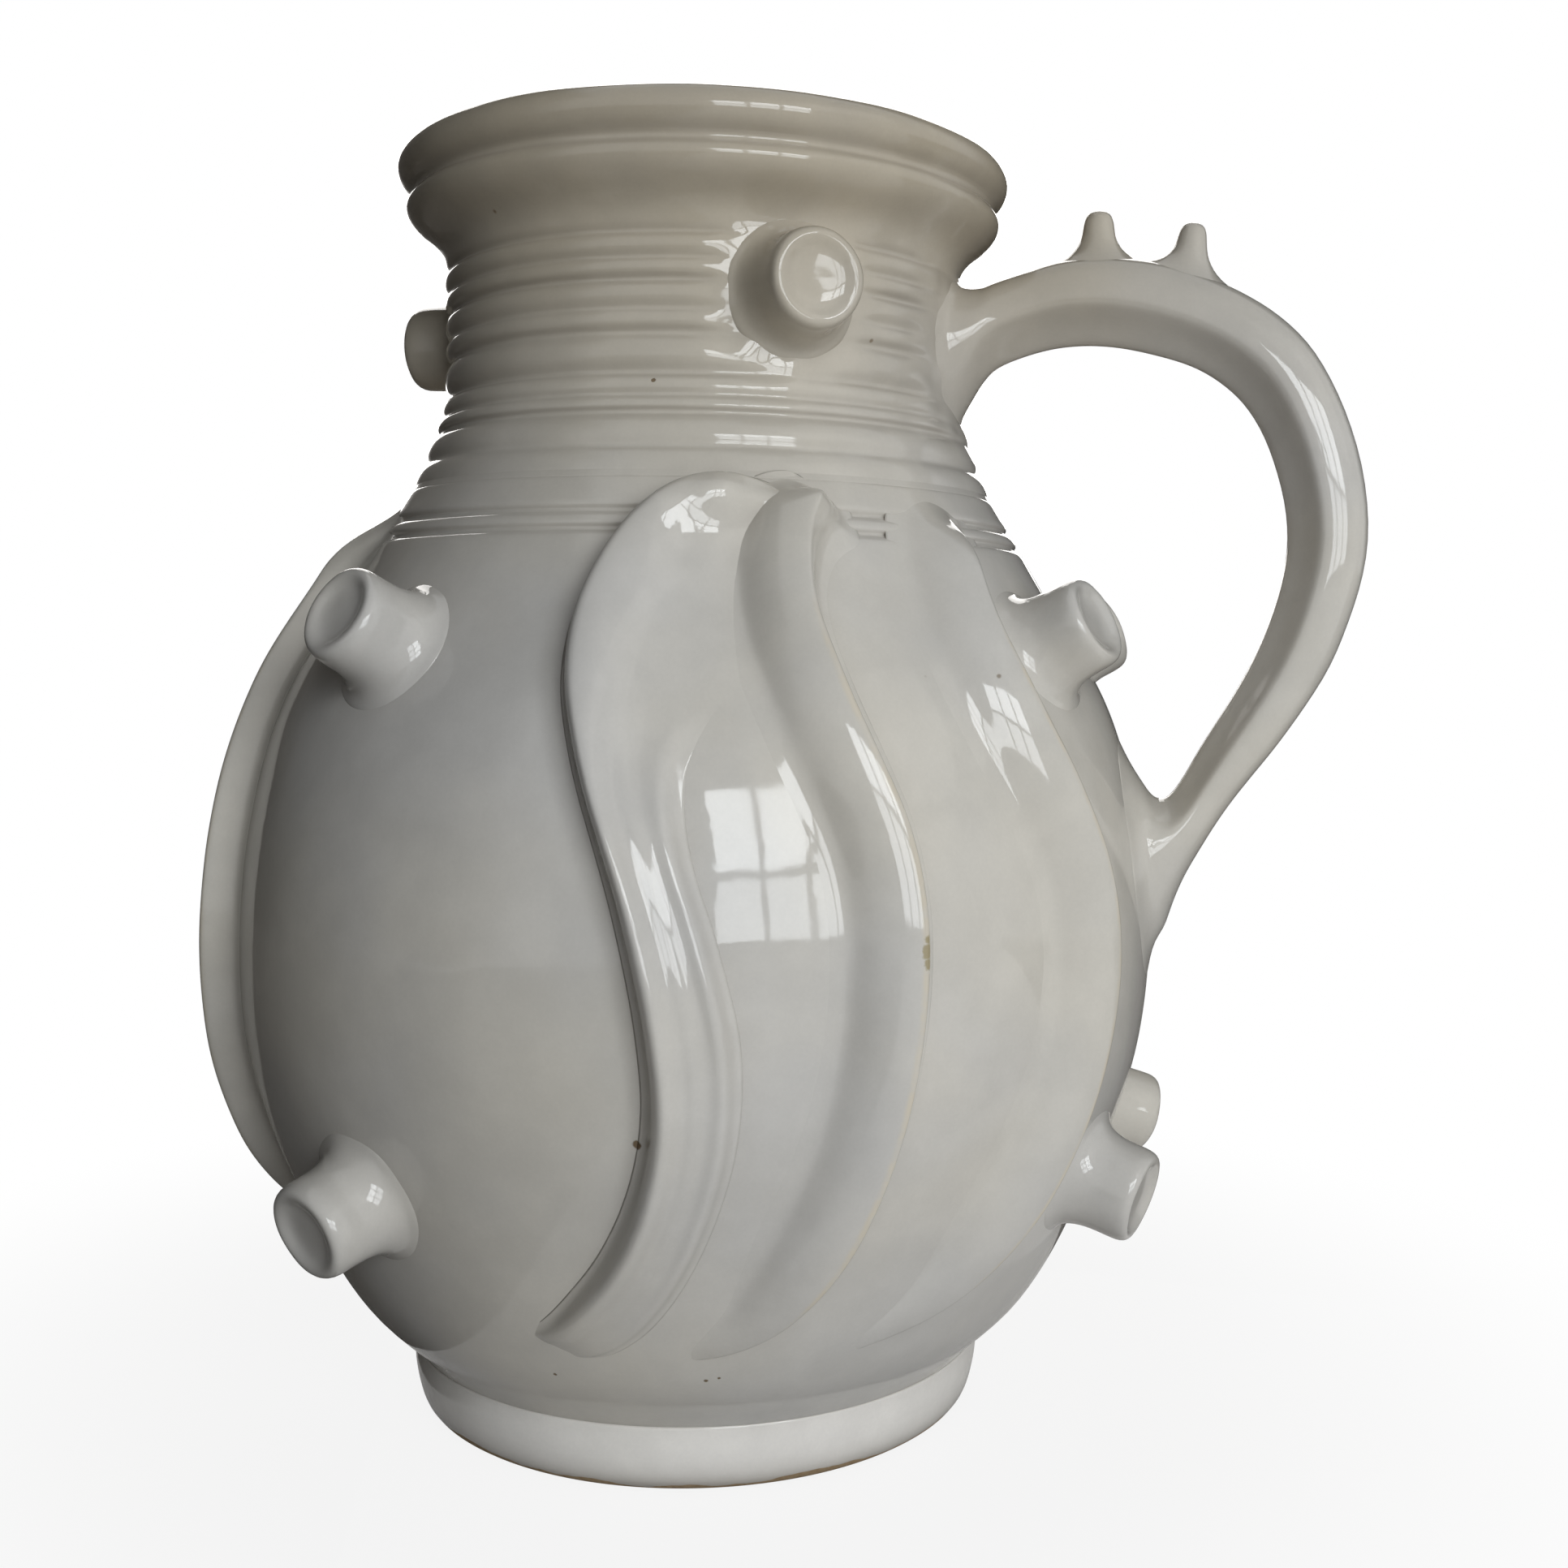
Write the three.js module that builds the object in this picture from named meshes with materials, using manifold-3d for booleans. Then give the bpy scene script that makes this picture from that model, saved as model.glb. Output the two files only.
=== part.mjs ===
import * as THREE from 'three';
import { mergeVertices } from 'three/addons/utils/BufferGeometryUtils.js';
import Module from 'manifold-3d';

const wasm = await Module();
wasm.setup();

// A tin-glazed earthenware jug with one handle, shown as the clay pieces it is put together from.
// The foot, belly and neck are thrown on the wheel. Handle, nubs, studs and S-shaped ribs are made
// by hand and luted on with slip. Millimetres, +Z up, standing on z = 0, handle towards +X.
// Angles round the axis are in degrees, from +X towards +Y, and the front faces -Y.

// Joints between the clay pieces
const SLIP_GAP = 0.3;

// Facets round a thrown piece, and round a stud
const ROUND_FACETS = 44;
const STUD_FACETS = 12;

// Turned foot ring
const FOOT_HEIGHT = 15.4;
const FOOT_REST_RADIUS = 65.2;
const FOOT_BULGE_RADIUS = 71;
const FOOT_CREASE_RADIUS = 69.6;
const FOOT_WALL = 12.5;
const FOOT_REST_WIDTH = 7.5;

// Thrown belly, its outline given by radius at a few heights
const FLARE_HEIGHT = 30;
const FLARE_RADIUS = 84.4;
const LOWER_HEIGHT = 56;
const LOWER_RADIUS = 97.6;
const WIDE_HEIGHT = 86;
const WIDE_RADIUS = 108;
const GIRTH_HEIGHT = 114;
const GIRTH_RADIUS = 111.1;
const UPPER_HEIGHT = 142;
const UPPER_RADIUS = 108.5;
const SHOULDER_HEIGHT = 172;
const SHOULDER_RADIUS = 99.4;
const SLOPE_HEIGHT = 198;
const SLOPE_RADIUS = 83.8;
const SEAM_HEIGHT = 220;
const SEAM_RADIUS = 70.8;
const BELLY_WALL = 7;
const FLOOR_THICKNESS = 9;
const BASE_RECESS = 7.5;

// Thrown neck, ringed by strong and fine grooves, and its rolled double lip
const SKIRT_RADIUS = 70.2;
const SKIRT_STEP_HEIGHT = 234;
const SKIRT_STEP_RADIUS = 64.7;
const NECK_START_HEIGHT = 243;
const NECK_RADIUS = 62.4;
const NECK_TOP_HEIGHT = 272;
const NECK_BORE = 55.3;
const STRONG_GROOVE = 1.2;
const FINE_GROOVE = 0.55;
const LOWER_BEAD_HEIGHT = NECK_TOP_HEIGHT + 13.2;
const LOWER_BEAD_RADIUS = 71.4;
const UPPER_BEAD_HEIGHT = LOWER_BEAD_HEIGHT + 9;
const UPPER_BEAD_RADIUS = 73.6;
const RIM_HEIGHT = UPPER_BEAD_HEIGHT + 5.8;
const RIM_RADIUS = 68.6;
const MOUTH_RADIUS = 64.4;

// Pulled strap handle
const HANDLE_THICKNESS = 19;
const HANDLE_WIDTH = 22;
const HANDLE_REACH = 149.5;
const HANDLE_MID_HEIGHT = 214;
const HANDLE_NECK_DROP = 16;
const HANDLE_CROWN_RISE = 10.2;
const HANDLE_NECK_HEIGHT = NECK_TOP_HEIGHT - HANDLE_NECK_DROP;
const HANDLE_CROWN_HEIGHT = HANDLE_NECK_HEIGHT + HANDLE_CROWN_RISE;
const HANDLE_BELLY_HEIGHT = 131;
const HANDLE_ROOT_WIDTH = 34;
const HANDLE_CROWN_SETBACK = 46.5;
const HANDLE_STATIONS = 36;
const LUTE_WIDTH = 15;

// Thumb nubs on the crown of the handle
const NUB_RADIUS = 3.8;
const NUB_ROOT_RADIUS = 8.4;
const NUB_RISE = 10.8;
const FIRST_NUB_SETBACK = 54.4;
const SECOND_NUB_SETBACK = 32.8;
const NUBS = [
  { reach: HANDLE_REACH - FIRST_NUB_SETBACK, lean: 0 },
  { reach: HANDLE_REACH - SECOND_NUB_SETBACK, lean: 6 },
];

// Studs, all of one shape, as [angle, height] in two rows on the belly, and round the neck as
// [angle, how far below the neck's top]
const STUD_LENGTH = 15.6;
const STUD_TIP_RADIUS = 10.3;
const STUD_WAIST_RADIUS = 10.9;
const STUD_ROOT_RADIUS = 14.8;
const STUD_DISH = 1.5;
const NECK_STUDS = [[-56.5, 11.5], [56.5, 12], [176, 12.5]];
const NECK_STUD_LIFT = 0;
const UPPER_STUDS = [[-20, 184.7], [-118.5, 183.8], [23.5, 184], [118.5, 184]];
const UPPER_STUD_LIFT = 27;
const LOWER_STUDS = [[-15.5, 66], [-117, 68.4], [19.5, 67.5], [117, 67.5]];
const LOWER_STUD_LIFT = -16;

// S-shaped ribs: three side by side make a set, and three sets go round the belly
const RIB_HEIGHT = 8.3;
const RIB_RAMP_WIDTH = 10.5;
const STRAP_WIDTH = 14.5;
const RIB_STATIONS = 21;
const RIB_CROWDING = 1.3;
const RIB_SEAT_GAP = 0.4;
const RIB_TOP_HEIGHT = 214;
const RIB_FOOT_HEIGHT = 36;
const RIB_SETS = { front: 0, rear: 127, left: -120 };

const DEG = Math.PI / 180;

// Outlines of the thrown pieces, as [height, radius]
const bellyOutline = [
  [FOOT_HEIGHT, FOOT_CREASE_RADIUS],
  [FLARE_HEIGHT, FLARE_RADIUS],
  [LOWER_HEIGHT, LOWER_RADIUS],
  [WIDE_HEIGHT, WIDE_RADIUS],
  [GIRTH_HEIGHT, GIRTH_RADIUS],
  [UPPER_HEIGHT, UPPER_RADIUS],
  [SHOULDER_HEIGHT, SHOULDER_RADIUS],
  [SLOPE_HEIGHT, SLOPE_RADIUS],
  [SEAM_HEIGHT, SEAM_RADIUS],
];
const neckOutline = [
  [SEAM_HEIGHT, SKIRT_RADIUS],
  [SKIRT_STEP_HEIGHT, SKIRT_STEP_RADIUS],
  [NECK_START_HEIGHT, NECK_RADIUS],
  [NECK_TOP_HEIGHT, NECK_RADIUS],
];

// Slope of an outline at its k-th point, from its two neighbours
function outlineSlope(outline, k) {
  const before = outline[Math.max(k - 1, 0)];
  const after = outline[Math.min(k + 1, outline.length - 1)];
  return (after[1] - before[1]) / (after[0] - before[0]);
}

// Radius of a smooth outline at a height, by a cubic between its points
function radiusAt(outline, height) {
  let k = 0;
  while (k < outline.length - 2 && height > outline[k + 1][0]) k += 1;
  const [z0, r0] = outline[k];
  const [z1, r1] = outline[k + 1];
  const span = z1 - z0;
  const t = THREE.MathUtils.clamp((height - z0) / span, 0, 1);
  const m0 = outlineSlope(outline, k) * span;
  const m1 = outlineSlope(outline, k + 1) * span;
  const t2 = t * t;
  const t3 = t2 * t;
  return (2 * t3 - 3 * t2 + 1) * r0 + (t3 - 2 * t2 + t) * m0 + (3 * t2 - 2 * t3) * r1 + (t3 - t2) * m1;
}

function slopeAt(outline, height) {
  const step = 0.5;
  return (radiusAt(outline, height + step) - radiusAt(outline, height - step)) / (2 * step);
}

// Heights spread evenly between two others
function heights(from, to, count) {
  return Array.from({ length: count }, (_, k) => from + ((to - from) * k) / (count - 1));
}

// Makes a geometry one closed body: shared corners are merged, triangles without area go, and
// the faces are turned outwards
function closed(geometry) {
  const bare = new THREE.BufferGeometry();
  bare.setAttribute('position', geometry.getAttribute('position').clone());
  if (geometry.index) bare.setIndex(geometry.index.clone());
  const merged = mergeVertices(bare, 1e-4);
  const position = merged.getAttribute('position');
  const kept = [];
  let volume = 0;
  const corners = [new THREE.Vector3(), new THREE.Vector3(), new THREE.Vector3()];
  for (let i = 0; i < merged.index.count; i += 3) {
    const ids = [merged.index.getX(i), merged.index.getX(i + 1), merged.index.getX(i + 2)];
    if (ids[0] === ids[1] || ids[1] === ids[2] || ids[2] === ids[0]) continue;
    corners.forEach((corner, k) => corner.fromBufferAttribute(position, ids[k]));
    volume += corners[0].dot(corners[1].clone().cross(corners[2])) / 6;
    kept.push(ids);
  }
  const outward = volume > 0 ? kept : kept.map(([a, b, c]) => [a, c, b]);
  merged.setIndex(outward.flat());
  merged.computeVertexNormals();
  return merged;
}

// Turns a profile of [height, radius] round the Z axis
function thrown(profile) {
  const points = profile.map(([height, radius]) => new THREE.Vector2(radius, height));
  return closed(new THREE.LatheGeometry(points, ROUND_FACETS).rotateX(Math.PI / 2));
}

// Skins a row of rings that hold as many points each. A ring may be a single repeated point.
function lofted(rings, startCap, endCap) {
  const count = rings[0].length;
  const positions = rings.flat().flatMap((p) => [p.x, p.y, p.z]);
  const index = [];
  for (let k = 0; k < rings.length - 1; k += 1) {
    for (let i = 0; i < count; i += 1) {
      const a = k * count + i;
      const b = k * count + ((i + 1) % count);
      index.push(a, b, b + count, a, b + count, a + count);
    }
  }
  const last = (rings.length - 1) * count;
  startCap.forEach(([a, b, c]) => index.push(a, c, b));
  endCap.forEach(([a, b, c]) => index.push(last + a, last + b, last + c));
  const geometry = new THREE.BufferGeometry();
  geometry.setAttribute('position', new THREE.Float32BufferAttribute(positions, 3));
  geometry.setIndex(index);
  return closed(geometry);
}

// Triangles that fill a flat section given by its 2D points, wound the way the section is
function sectionCap(section) {
  const points = section.map(([x, y]) => new THREE.Vector2(x, y));
  const winding = Math.sign(THREE.ShapeUtils.area(points));
  return THREE.ShapeUtils.triangulateShape(points, []).map(([a, b, c]) => {
    const turned = Math.sign(THREE.ShapeUtils.area([points[a], points[b], points[c]])) !== winding;
    return turned ? [a, c, b] : [a, b, c];
  });
}

function toManifold(geometry) {
  const vertProperties = new Float32Array(geometry.getAttribute('position').array);
  const triVerts = new Uint32Array(geometry.index.array);
  return new wasm.Manifold(new wasm.Mesh({ numProp: 3, vertProperties, triVerts }));
}

function fromManifold(solid) {
  const mesh = solid.getMesh();
  const geometry = new THREE.BufferGeometry();
  geometry.setAttribute('position', new THREE.BufferAttribute(mesh.vertProperties, 3));
  geometry.setIndex(new THREE.BufferAttribute(mesh.triVerts, 1));
  return closed(geometry);
}

// Foot ring: a bulging ring with a flat resting face and a softened inner edge
function footRing() {
  const inside = FOOT_CREASE_RADIUS - FOOT_WALL;
  const restInside = FOOT_REST_RADIUS - FOOT_REST_WIDTH;
  const profile = [
    [0, restInside],
    [0, FOOT_REST_RADIUS],
    [FOOT_HEIGHT * 0.1, FOOT_REST_RADIUS + 2],
    [FOOT_HEIGHT * 0.35, FOOT_BULGE_RADIUS - 1.4],
    [FOOT_HEIGHT * 0.78, FOOT_BULGE_RADIUS],
    [FOOT_HEIGHT * 0.94, FOOT_BULGE_RADIUS - 0.4],
    [FOOT_HEIGHT, FOOT_CREASE_RADIUS],
    [FOOT_HEIGHT, inside],
    [FOOT_HEIGHT * 0.15, inside],
    [0, restInside],
  ];
  return thrown(profile);
}

// Horizontal thickness of a wall that measures the same square to its surface everywhere
function wallAcross(outline, height, wall) {
  return wall * Math.hypot(1, slopeAt(outline, height));
}

const seamBore = SEAM_RADIUS - wallAcross(bellyOutline, SEAM_HEIGHT, BELLY_WALL);

// Belly: a hollow pot whose floor hangs a little down into the foot ring
function belly() {
  const bossRadius = FOOT_CREASE_RADIUS - FOOT_WALL - SLIP_GAP;
  const floorTop = BASE_RECESS + FLOOR_THICKNESS;
  const outside = heights(FOOT_HEIGHT, SEAM_HEIGHT, 18).map((z) => [z, radiusAt(bellyOutline, z)]);
  const inside = heights(SEAM_HEIGHT, floorTop + 12, 10).map((z) => {
    return [z, radiusAt(bellyOutline, z) - wallAcross(bellyOutline, z, BELLY_WALL)];
  });
  inside[0] = [SEAM_HEIGHT, seamBore];
  const cornerRadius = inside[inside.length - 1][1] - 7;
  return thrown([
    [BASE_RECESS, 0],
    [BASE_RECESS, bossRadius],
    [FOOT_HEIGHT, bossRadius],
    ...outside,
    ...inside,
    [floorTop + 3, cornerRadius],
    [floorTop, cornerRadius - 9],
    [floorTop, 0],
  ]);
}

// Grooves that ring the neck, as [height, depth]
const neckGrooves = [
  [SEAM_HEIGHT + 6.5, FINE_GROOVE],
  [SEAM_HEIGHT + 13.7, STRONG_GROOVE],
  [SEAM_HEIGHT + 17.5, FINE_GROOVE],
  [SEAM_HEIGHT + 22.3, STRONG_GROOVE],
  [NECK_TOP_HEIGHT - 21.3, STRONG_GROOVE],
  [NECK_TOP_HEIGHT - 16.2, FINE_GROOVE],
  [NECK_TOP_HEIGHT - 10.2, STRONG_GROOVE],
  [NECK_TOP_HEIGHT - 5.6, FINE_GROOVE],
  [NECK_TOP_HEIGHT - 0.2, STRONG_GROOVE],
];

// The ringed outside of the neck: between two grooves the clay keeps two rounded edges
function ringedNeck() {
  const profile = [[SEAM_HEIGHT, SKIRT_RADIUS - STRONG_GROOVE]];
  neckGrooves.forEach(([height, depth], k) => {
    const below = k === 0 ? SEAM_HEIGHT : neckGrooves[k - 1][0];
    const band = height - below;
    [0.24, 0.76].forEach((share) => {
      const z = below + band * share;
      profile.push([z, radiusAt(neckOutline, z)]);
    });
    profile.push([height, radiusAt(neckOutline, height) - depth]);
  });
  return profile;
}

// Neck: ringed tube that flares into a lip of two rolled beads
function neck() {
  const lip = [
    [NECK_TOP_HEIGHT + 6, NECK_RADIUS + 1],
    [LOWER_BEAD_HEIGHT - 5.6, LOWER_BEAD_RADIUS - 4],
    [LOWER_BEAD_HEIGHT - 2.6, LOWER_BEAD_RADIUS - 0.8],
    [LOWER_BEAD_HEIGHT, LOWER_BEAD_RADIUS],
    [(LOWER_BEAD_HEIGHT + UPPER_BEAD_HEIGHT) / 2 - 0.8, LOWER_BEAD_RADIUS - 0.6],
    [UPPER_BEAD_HEIGHT - 3, UPPER_BEAD_RADIUS - 0.9],
    [UPPER_BEAD_HEIGHT, UPPER_BEAD_RADIUS],
    [UPPER_BEAD_HEIGHT + 3.2, UPPER_BEAD_RADIUS - 0.6],
    [RIM_HEIGHT - 0.6, RIM_RADIUS + 2],
    [RIM_HEIGHT, RIM_RADIUS],
    [RIM_HEIGHT - 0.9, MOUTH_RADIUS + 1.6],
    [RIM_HEIGHT - 3.5, MOUTH_RADIUS],
  ];
  const bore = [
    [LOWER_BEAD_HEIGHT, MOUTH_RADIUS - 5],
    [NECK_TOP_HEIGHT, NECK_BORE],
    [NECK_START_HEIGHT, NECK_BORE],
    [SEAM_HEIGHT + 9, NECK_BORE + 3],
    [SEAM_HEIGHT, seamBore],
  ];
  const outside = ringedNeck();
  return thrown([...outside, ...lip, ...bore, outside[0]]);
}

// Outer surface of the vessel below the lip, without its grooves, grown by a margin: luted pieces
// are fitted to it
function vesselEnvelope(margin, facets) {
  const below = heights(FOOT_HEIGHT, SEAM_HEIGHT, 60).map((z) => [z, radiusAt(bellyOutline, z)]);
  const above = heights(SEAM_HEIGHT + 2, NECK_TOP_HEIGHT, 20).map((z) => [z, radiusAt(neckOutline, z)]);
  const outline = [...below, ...above].map(([z, r]) => new THREE.Vector2(r + margin, z));
  outline.unshift(new THREE.Vector2(0, FOOT_HEIGHT));
  outline.push(new THREE.Vector2(NECK_RADIUS + margin, RIM_HEIGHT));
  outline.push(new THREE.Vector2(0, RIM_HEIGHT));
  return closed(new THREE.LatheGeometry(outline, facets).rotateX(Math.PI / 2));
}

function surfaceMesh(geometry) {
  return new THREE.Mesh(geometry, new THREE.MeshBasicMaterial({ side: THREE.DoubleSide }));
}

const raycaster = new THREE.Raycaster();

// How far along a direction from a point the first surface of a carrier lies
function distanceTo(carrier, from, direction) {
  raycaster.set(from, direction);
  return raycaster.intersectObject(carrier)[0].distance;
}

// A luted knob: rings of [radius, rise, follow] round an axis. Where follow is 1 a ring lies on the
// carrier's surface, and where it is 0 it is a plain circle.
function knob(carrier, foot, axis, rings, facets) {
  const side = new THREE.Vector3(0, 0, 1).cross(axis);
  if (side.lengthSq() < 0.01) side.set(0, 1, 0);
  side.normalize();
  const up = axis.clone().cross(side);
  const standOff = 40;
  const start = foot.clone().addScaledVector(axis, standOff);
  const inward = axis.clone().negate();
  const floor = distanceTo(carrier, start, inward);
  const loops = rings.map(([radius, rise, follow]) => {
    return Array.from({ length: facets }, (_, k) => {
      const angle = ((k + 0.5) / facets) * Math.PI * 2;
      const offset = side.clone().multiplyScalar(Math.cos(angle) * radius);
      offset.addScaledVector(up, Math.sin(angle) * radius);
      const drop = distanceTo(carrier, start.clone().add(offset), inward) - floor;
      return start.clone().add(offset).addScaledVector(inward, floor + drop * follow - rise);
    });
  });
  return lofted(loops, [], []);
}

// Stud: flared luted root, waisted shaft, rounded rim and a dished end
function stud(carrier, angle, height, lift) {
  const radius = height > SEAM_HEIGHT ? NECK_RADIUS : radiusAt(bellyOutline, height);
  const a = angle * DEG;
  const e = lift * DEG;
  const foot = new THREE.Vector3(radius * Math.cos(a), radius * Math.sin(a), height);
  const axis = new THREE.Vector3(Math.cos(a) * Math.cos(e), Math.sin(a) * Math.cos(e), Math.sin(e));
  const rings = [
    [0, 0, 1],
    [STUD_ROOT_RADIUS * 0.55, 0, 1],
    [STUD_ROOT_RADIUS, 0, 1],
    [STUD_WAIST_RADIUS + 2.2, 1.4, 0.9],
    [STUD_WAIST_RADIUS + 0.7, STUD_LENGTH * 0.26, 0.5],
    [STUD_WAIST_RADIUS, STUD_LENGTH * 0.55, 0],
    [STUD_TIP_RADIUS, STUD_LENGTH - 2.8, 0],
    [STUD_TIP_RADIUS - 1.2, STUD_LENGTH - 0.8, 0],
    [STUD_TIP_RADIUS - 3.2, STUD_LENGTH, 0],
    [STUD_TIP_RADIUS - 5.8, STUD_LENGTH - STUD_DISH, 0],
    [0, STUD_LENGTH - STUD_DISH, 0],
  ];
  return knob(carrier, foot, axis, rings, STUD_FACETS);
}

// Centre line of the handle in the plane y = 0, from inside the neck to inside the belly, as
// [x, z, thickness, width]
const handleLine = [
  [NECK_RADIUS - 8, HANDLE_NECK_HEIGHT + 0.4, 36, HANDLE_ROOT_WIDTH + 6],
  [NECK_RADIUS, HANDLE_NECK_HEIGHT + 2.2, 27.6, HANDLE_ROOT_WIDTH],
  [NECK_RADIUS + 4.4, HANDLE_NECK_HEIGHT + 4.4, 20.8, HANDLE_WIDTH + 4],
  [NECK_RADIUS + 12.6, HANDLE_NECK_HEIGHT + 6.4, 19.2, HANDLE_WIDTH + 1],
  [NECK_RADIUS + 25.1, HANDLE_CROWN_HEIGHT - 0.6, 20.4, HANDLE_WIDTH + 1],
  [HANDLE_REACH - HANDLE_CROWN_SETBACK, HANDLE_CROWN_HEIGHT - 0.8, 21.4, HANDLE_WIDTH + 1],
  [HANDLE_REACH - 26.8, HANDLE_CROWN_HEIGHT - 7, 20.3, HANDLE_WIDTH],
  [HANDLE_REACH - 10.4, HANDLE_MID_HEIGHT + 32, HANDLE_THICKNESS + 0.6, HANDLE_WIDTH],
  [HANDLE_REACH, HANDLE_MID_HEIGHT, HANDLE_THICKNESS, HANDLE_WIDTH],
  [HANDLE_REACH - 6.7, HANDLE_MID_HEIGHT - 29.6, HANDLE_THICKNESS - 1.8, HANDLE_WIDTH],
  [GIRTH_RADIUS + 17.5, HANDLE_BELLY_HEIGHT + 28, HANDLE_THICKNESS - 3, HANDLE_WIDTH],
  [GIRTH_RADIUS + 8.3, HANDLE_BELLY_HEIGHT + 12.8, HANDLE_THICKNESS - 3.2, HANDLE_WIDTH + 2],
  [GIRTH_RADIUS + 0.5, HANDLE_BELLY_HEIGHT, HANDLE_THICKNESS - 3.2, HANDLE_WIDTH + 6],
  [GIRTH_RADIUS - 3.5, HANDLE_BELLY_HEIGHT - 13, 12.4, HANDLE_WIDTH + 6],
  [GIRTH_RADIUS - 6.7, HANDLE_BELLY_HEIGHT - 27, 10, HANDLE_WIDTH + 2],
];

// Half of the strap's section from its outer to its inner face, as shares of half the thickness
// and half the width, with the groove that the fingers leave along each side
const handleHalfSection = [
  [1, 0],
  [0.92, 0.5],
  [0.62, 0.86],
  [0.15, 1],
  [-0.26, 0.97],
  [-0.42, 0.9],
  [-0.58, 0.92],
  [-0.9, 0.6],
  [-1, 0],
];

function handleSection() {
  const mirrored = handleHalfSection.slice(1, -1).reverse().map(([t, w]) => [t, -w]);
  return [...handleHalfSection, ...mirrored];
}

// Handle skinned along its centre line, thicker by a margin all round
function handleStrap(margin) {
  const line = new THREE.CatmullRomCurve3(handleLine.map(([x, z]) => new THREE.Vector3(x, 0, z)));
  const sizes = new THREE.CatmullRomCurve3(handleLine.map(([, , t, w]) => new THREE.Vector3(t, w, 0)));
  const section = handleSection();
  const rings = Array.from({ length: HANDLE_STATIONS }, (_, k) => {
    const t = k / (HANDLE_STATIONS - 1);
    const centre = line.getPoint(t);
    const along = line.getTangent(t);
    const outward = new THREE.Vector3(-along.z, 0, along.x);
    const size = sizes.getPoint(t);
    return section.map(([thick, wide]) => {
      const point = centre.clone().addScaledVector(outward, thick * (size.x / 2 + margin));
      point.y = wide * (size.y / 2 + margin);
      return point;
    });
  });
  const cap = sectionCap(section);
  return lofted(rings, cap, cap);
}

// Clay pressed into the corner between the belly and the lower end of the strap, seen in y = 0
function cornerLute() {
  const corner = new THREE.Shape(
    [
      [-16.1, 34],
      [-6.7, 31],
      [-3.5, 23],
      [0.1, 18.8],
      [3.3, 17.8],
      [7.5, 23],
      [9.9, 12],
      [-16.1, 5],
    ].map(([out, up]) => new THREE.Vector2(GIRTH_RADIUS + out, HANDLE_BELLY_HEIGHT + up)),
  );
  const depth = LUTE_WIDTH;
  const wedge = new THREE.ExtrudeGeometry(corner, { depth, steps: 1, bevelEnabled: false });
  return closed(wedge.translate(0, 0, -depth / 2).rotateX(Math.PI / 2));
}

// Handle: strap and corner lute in one, fitted to the vessel with the slip between them
function handle() {
  const roots = toManifold(vesselEnvelope(SLIP_GAP, ROUND_FACETS));
  const whole = toManifold(handleStrap(0)).add(toManifold(cornerLute()));
  return fromManifold(whole.subtract(roots));
}

// Nub: a blunt thorn pinched up out of its own luted root, which is cut to the strap
function nub(carrier, { reach, lean }) {
  const axis = new THREE.Vector3(Math.sin(lean * DEG), 0, Math.cos(lean * DEG));
  const foot = new THREE.Vector3(reach, 0, HANDLE_CROWN_HEIGHT);
  const rings = [
    [0, -3, 1],
    [NUB_ROOT_RADIUS * 0.8, -2.4, 1],
    [NUB_ROOT_RADIUS, 0.2, 1],
    [NUB_RADIUS + 2.2, 1.4, 0.8],
    [NUB_RADIUS + 0.7, NUB_RISE * 0.4, 0.2],
    [NUB_RADIUS, NUB_RISE - NUB_RADIUS, 0],
    [NUB_RADIUS * 0.75, NUB_RISE - 1.2, 0],
    [0, NUB_RISE, 0],
  ];
  const whole = toManifold(knob(carrier, foot, axis, rings, STUD_FACETS));
  return fromManifold(whole.subtract(toManifold(carrier.geometry)));
}

// A point of the belly's outer surface, lifted square to it by a height
function onBelly(angle, height, lift) {
  const a = angle * DEG;
  const radius = radiusAt(bellyOutline, height);
  const tilt = Math.atan(-slopeAt(bellyOutline, height));
  const r = radius + lift * Math.cos(tilt);
  return new THREE.Vector3(r * Math.cos(a), r * Math.sin(a), height + lift * Math.sin(tilt));
}

// Crest lines of one set of ribs, as [angle, share of the way from foot to top], from the top
// down. The first rib starts as a strap that comes out of its neighbour and bends to the left.
const ribLines = [
  {
    kind: 'strap',
    line: [
      [-61.5, 1],
      [-72, 1.006],
      [-81, 0.978],
      [-87, 0.921],
      [-89, 0.843],
      [-86.5, 0.736],
      [-82, 0.612],
      [-78, 0.478],
      [-76.8, 0.348],
      [-79, 0.225],
      [-84, 0.112],
      [-90.5, 0.022],
    ],
  },
  {
    kind: 'ramp',
    line: [
      [-54.5, 1],
      [-59.5, 0.955],
      [-60.5, 0.865],
      [-57.5, 0.758],
      [-53.6, 0.629],
      [-52.5, 0.494],
      [-53.6, 0.36],
      [-56.3, 0.219],
      [-61, 0.101],
      [-71, 0],
    ],
  },
  {
    kind: 'ramp',
    line: [
      [-27, 1],
      [-33.2, 0.933],
      [-34.7, 0.831],
      [-32.4, 0.73],
      [-27.6, 0.629],
      [-25.8, 0.506],
      [-27.2, 0.371],
      [-30.4, 0.225],
      [-38, 0.079],
      [-53, 0],
    ],
  },
];

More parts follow.
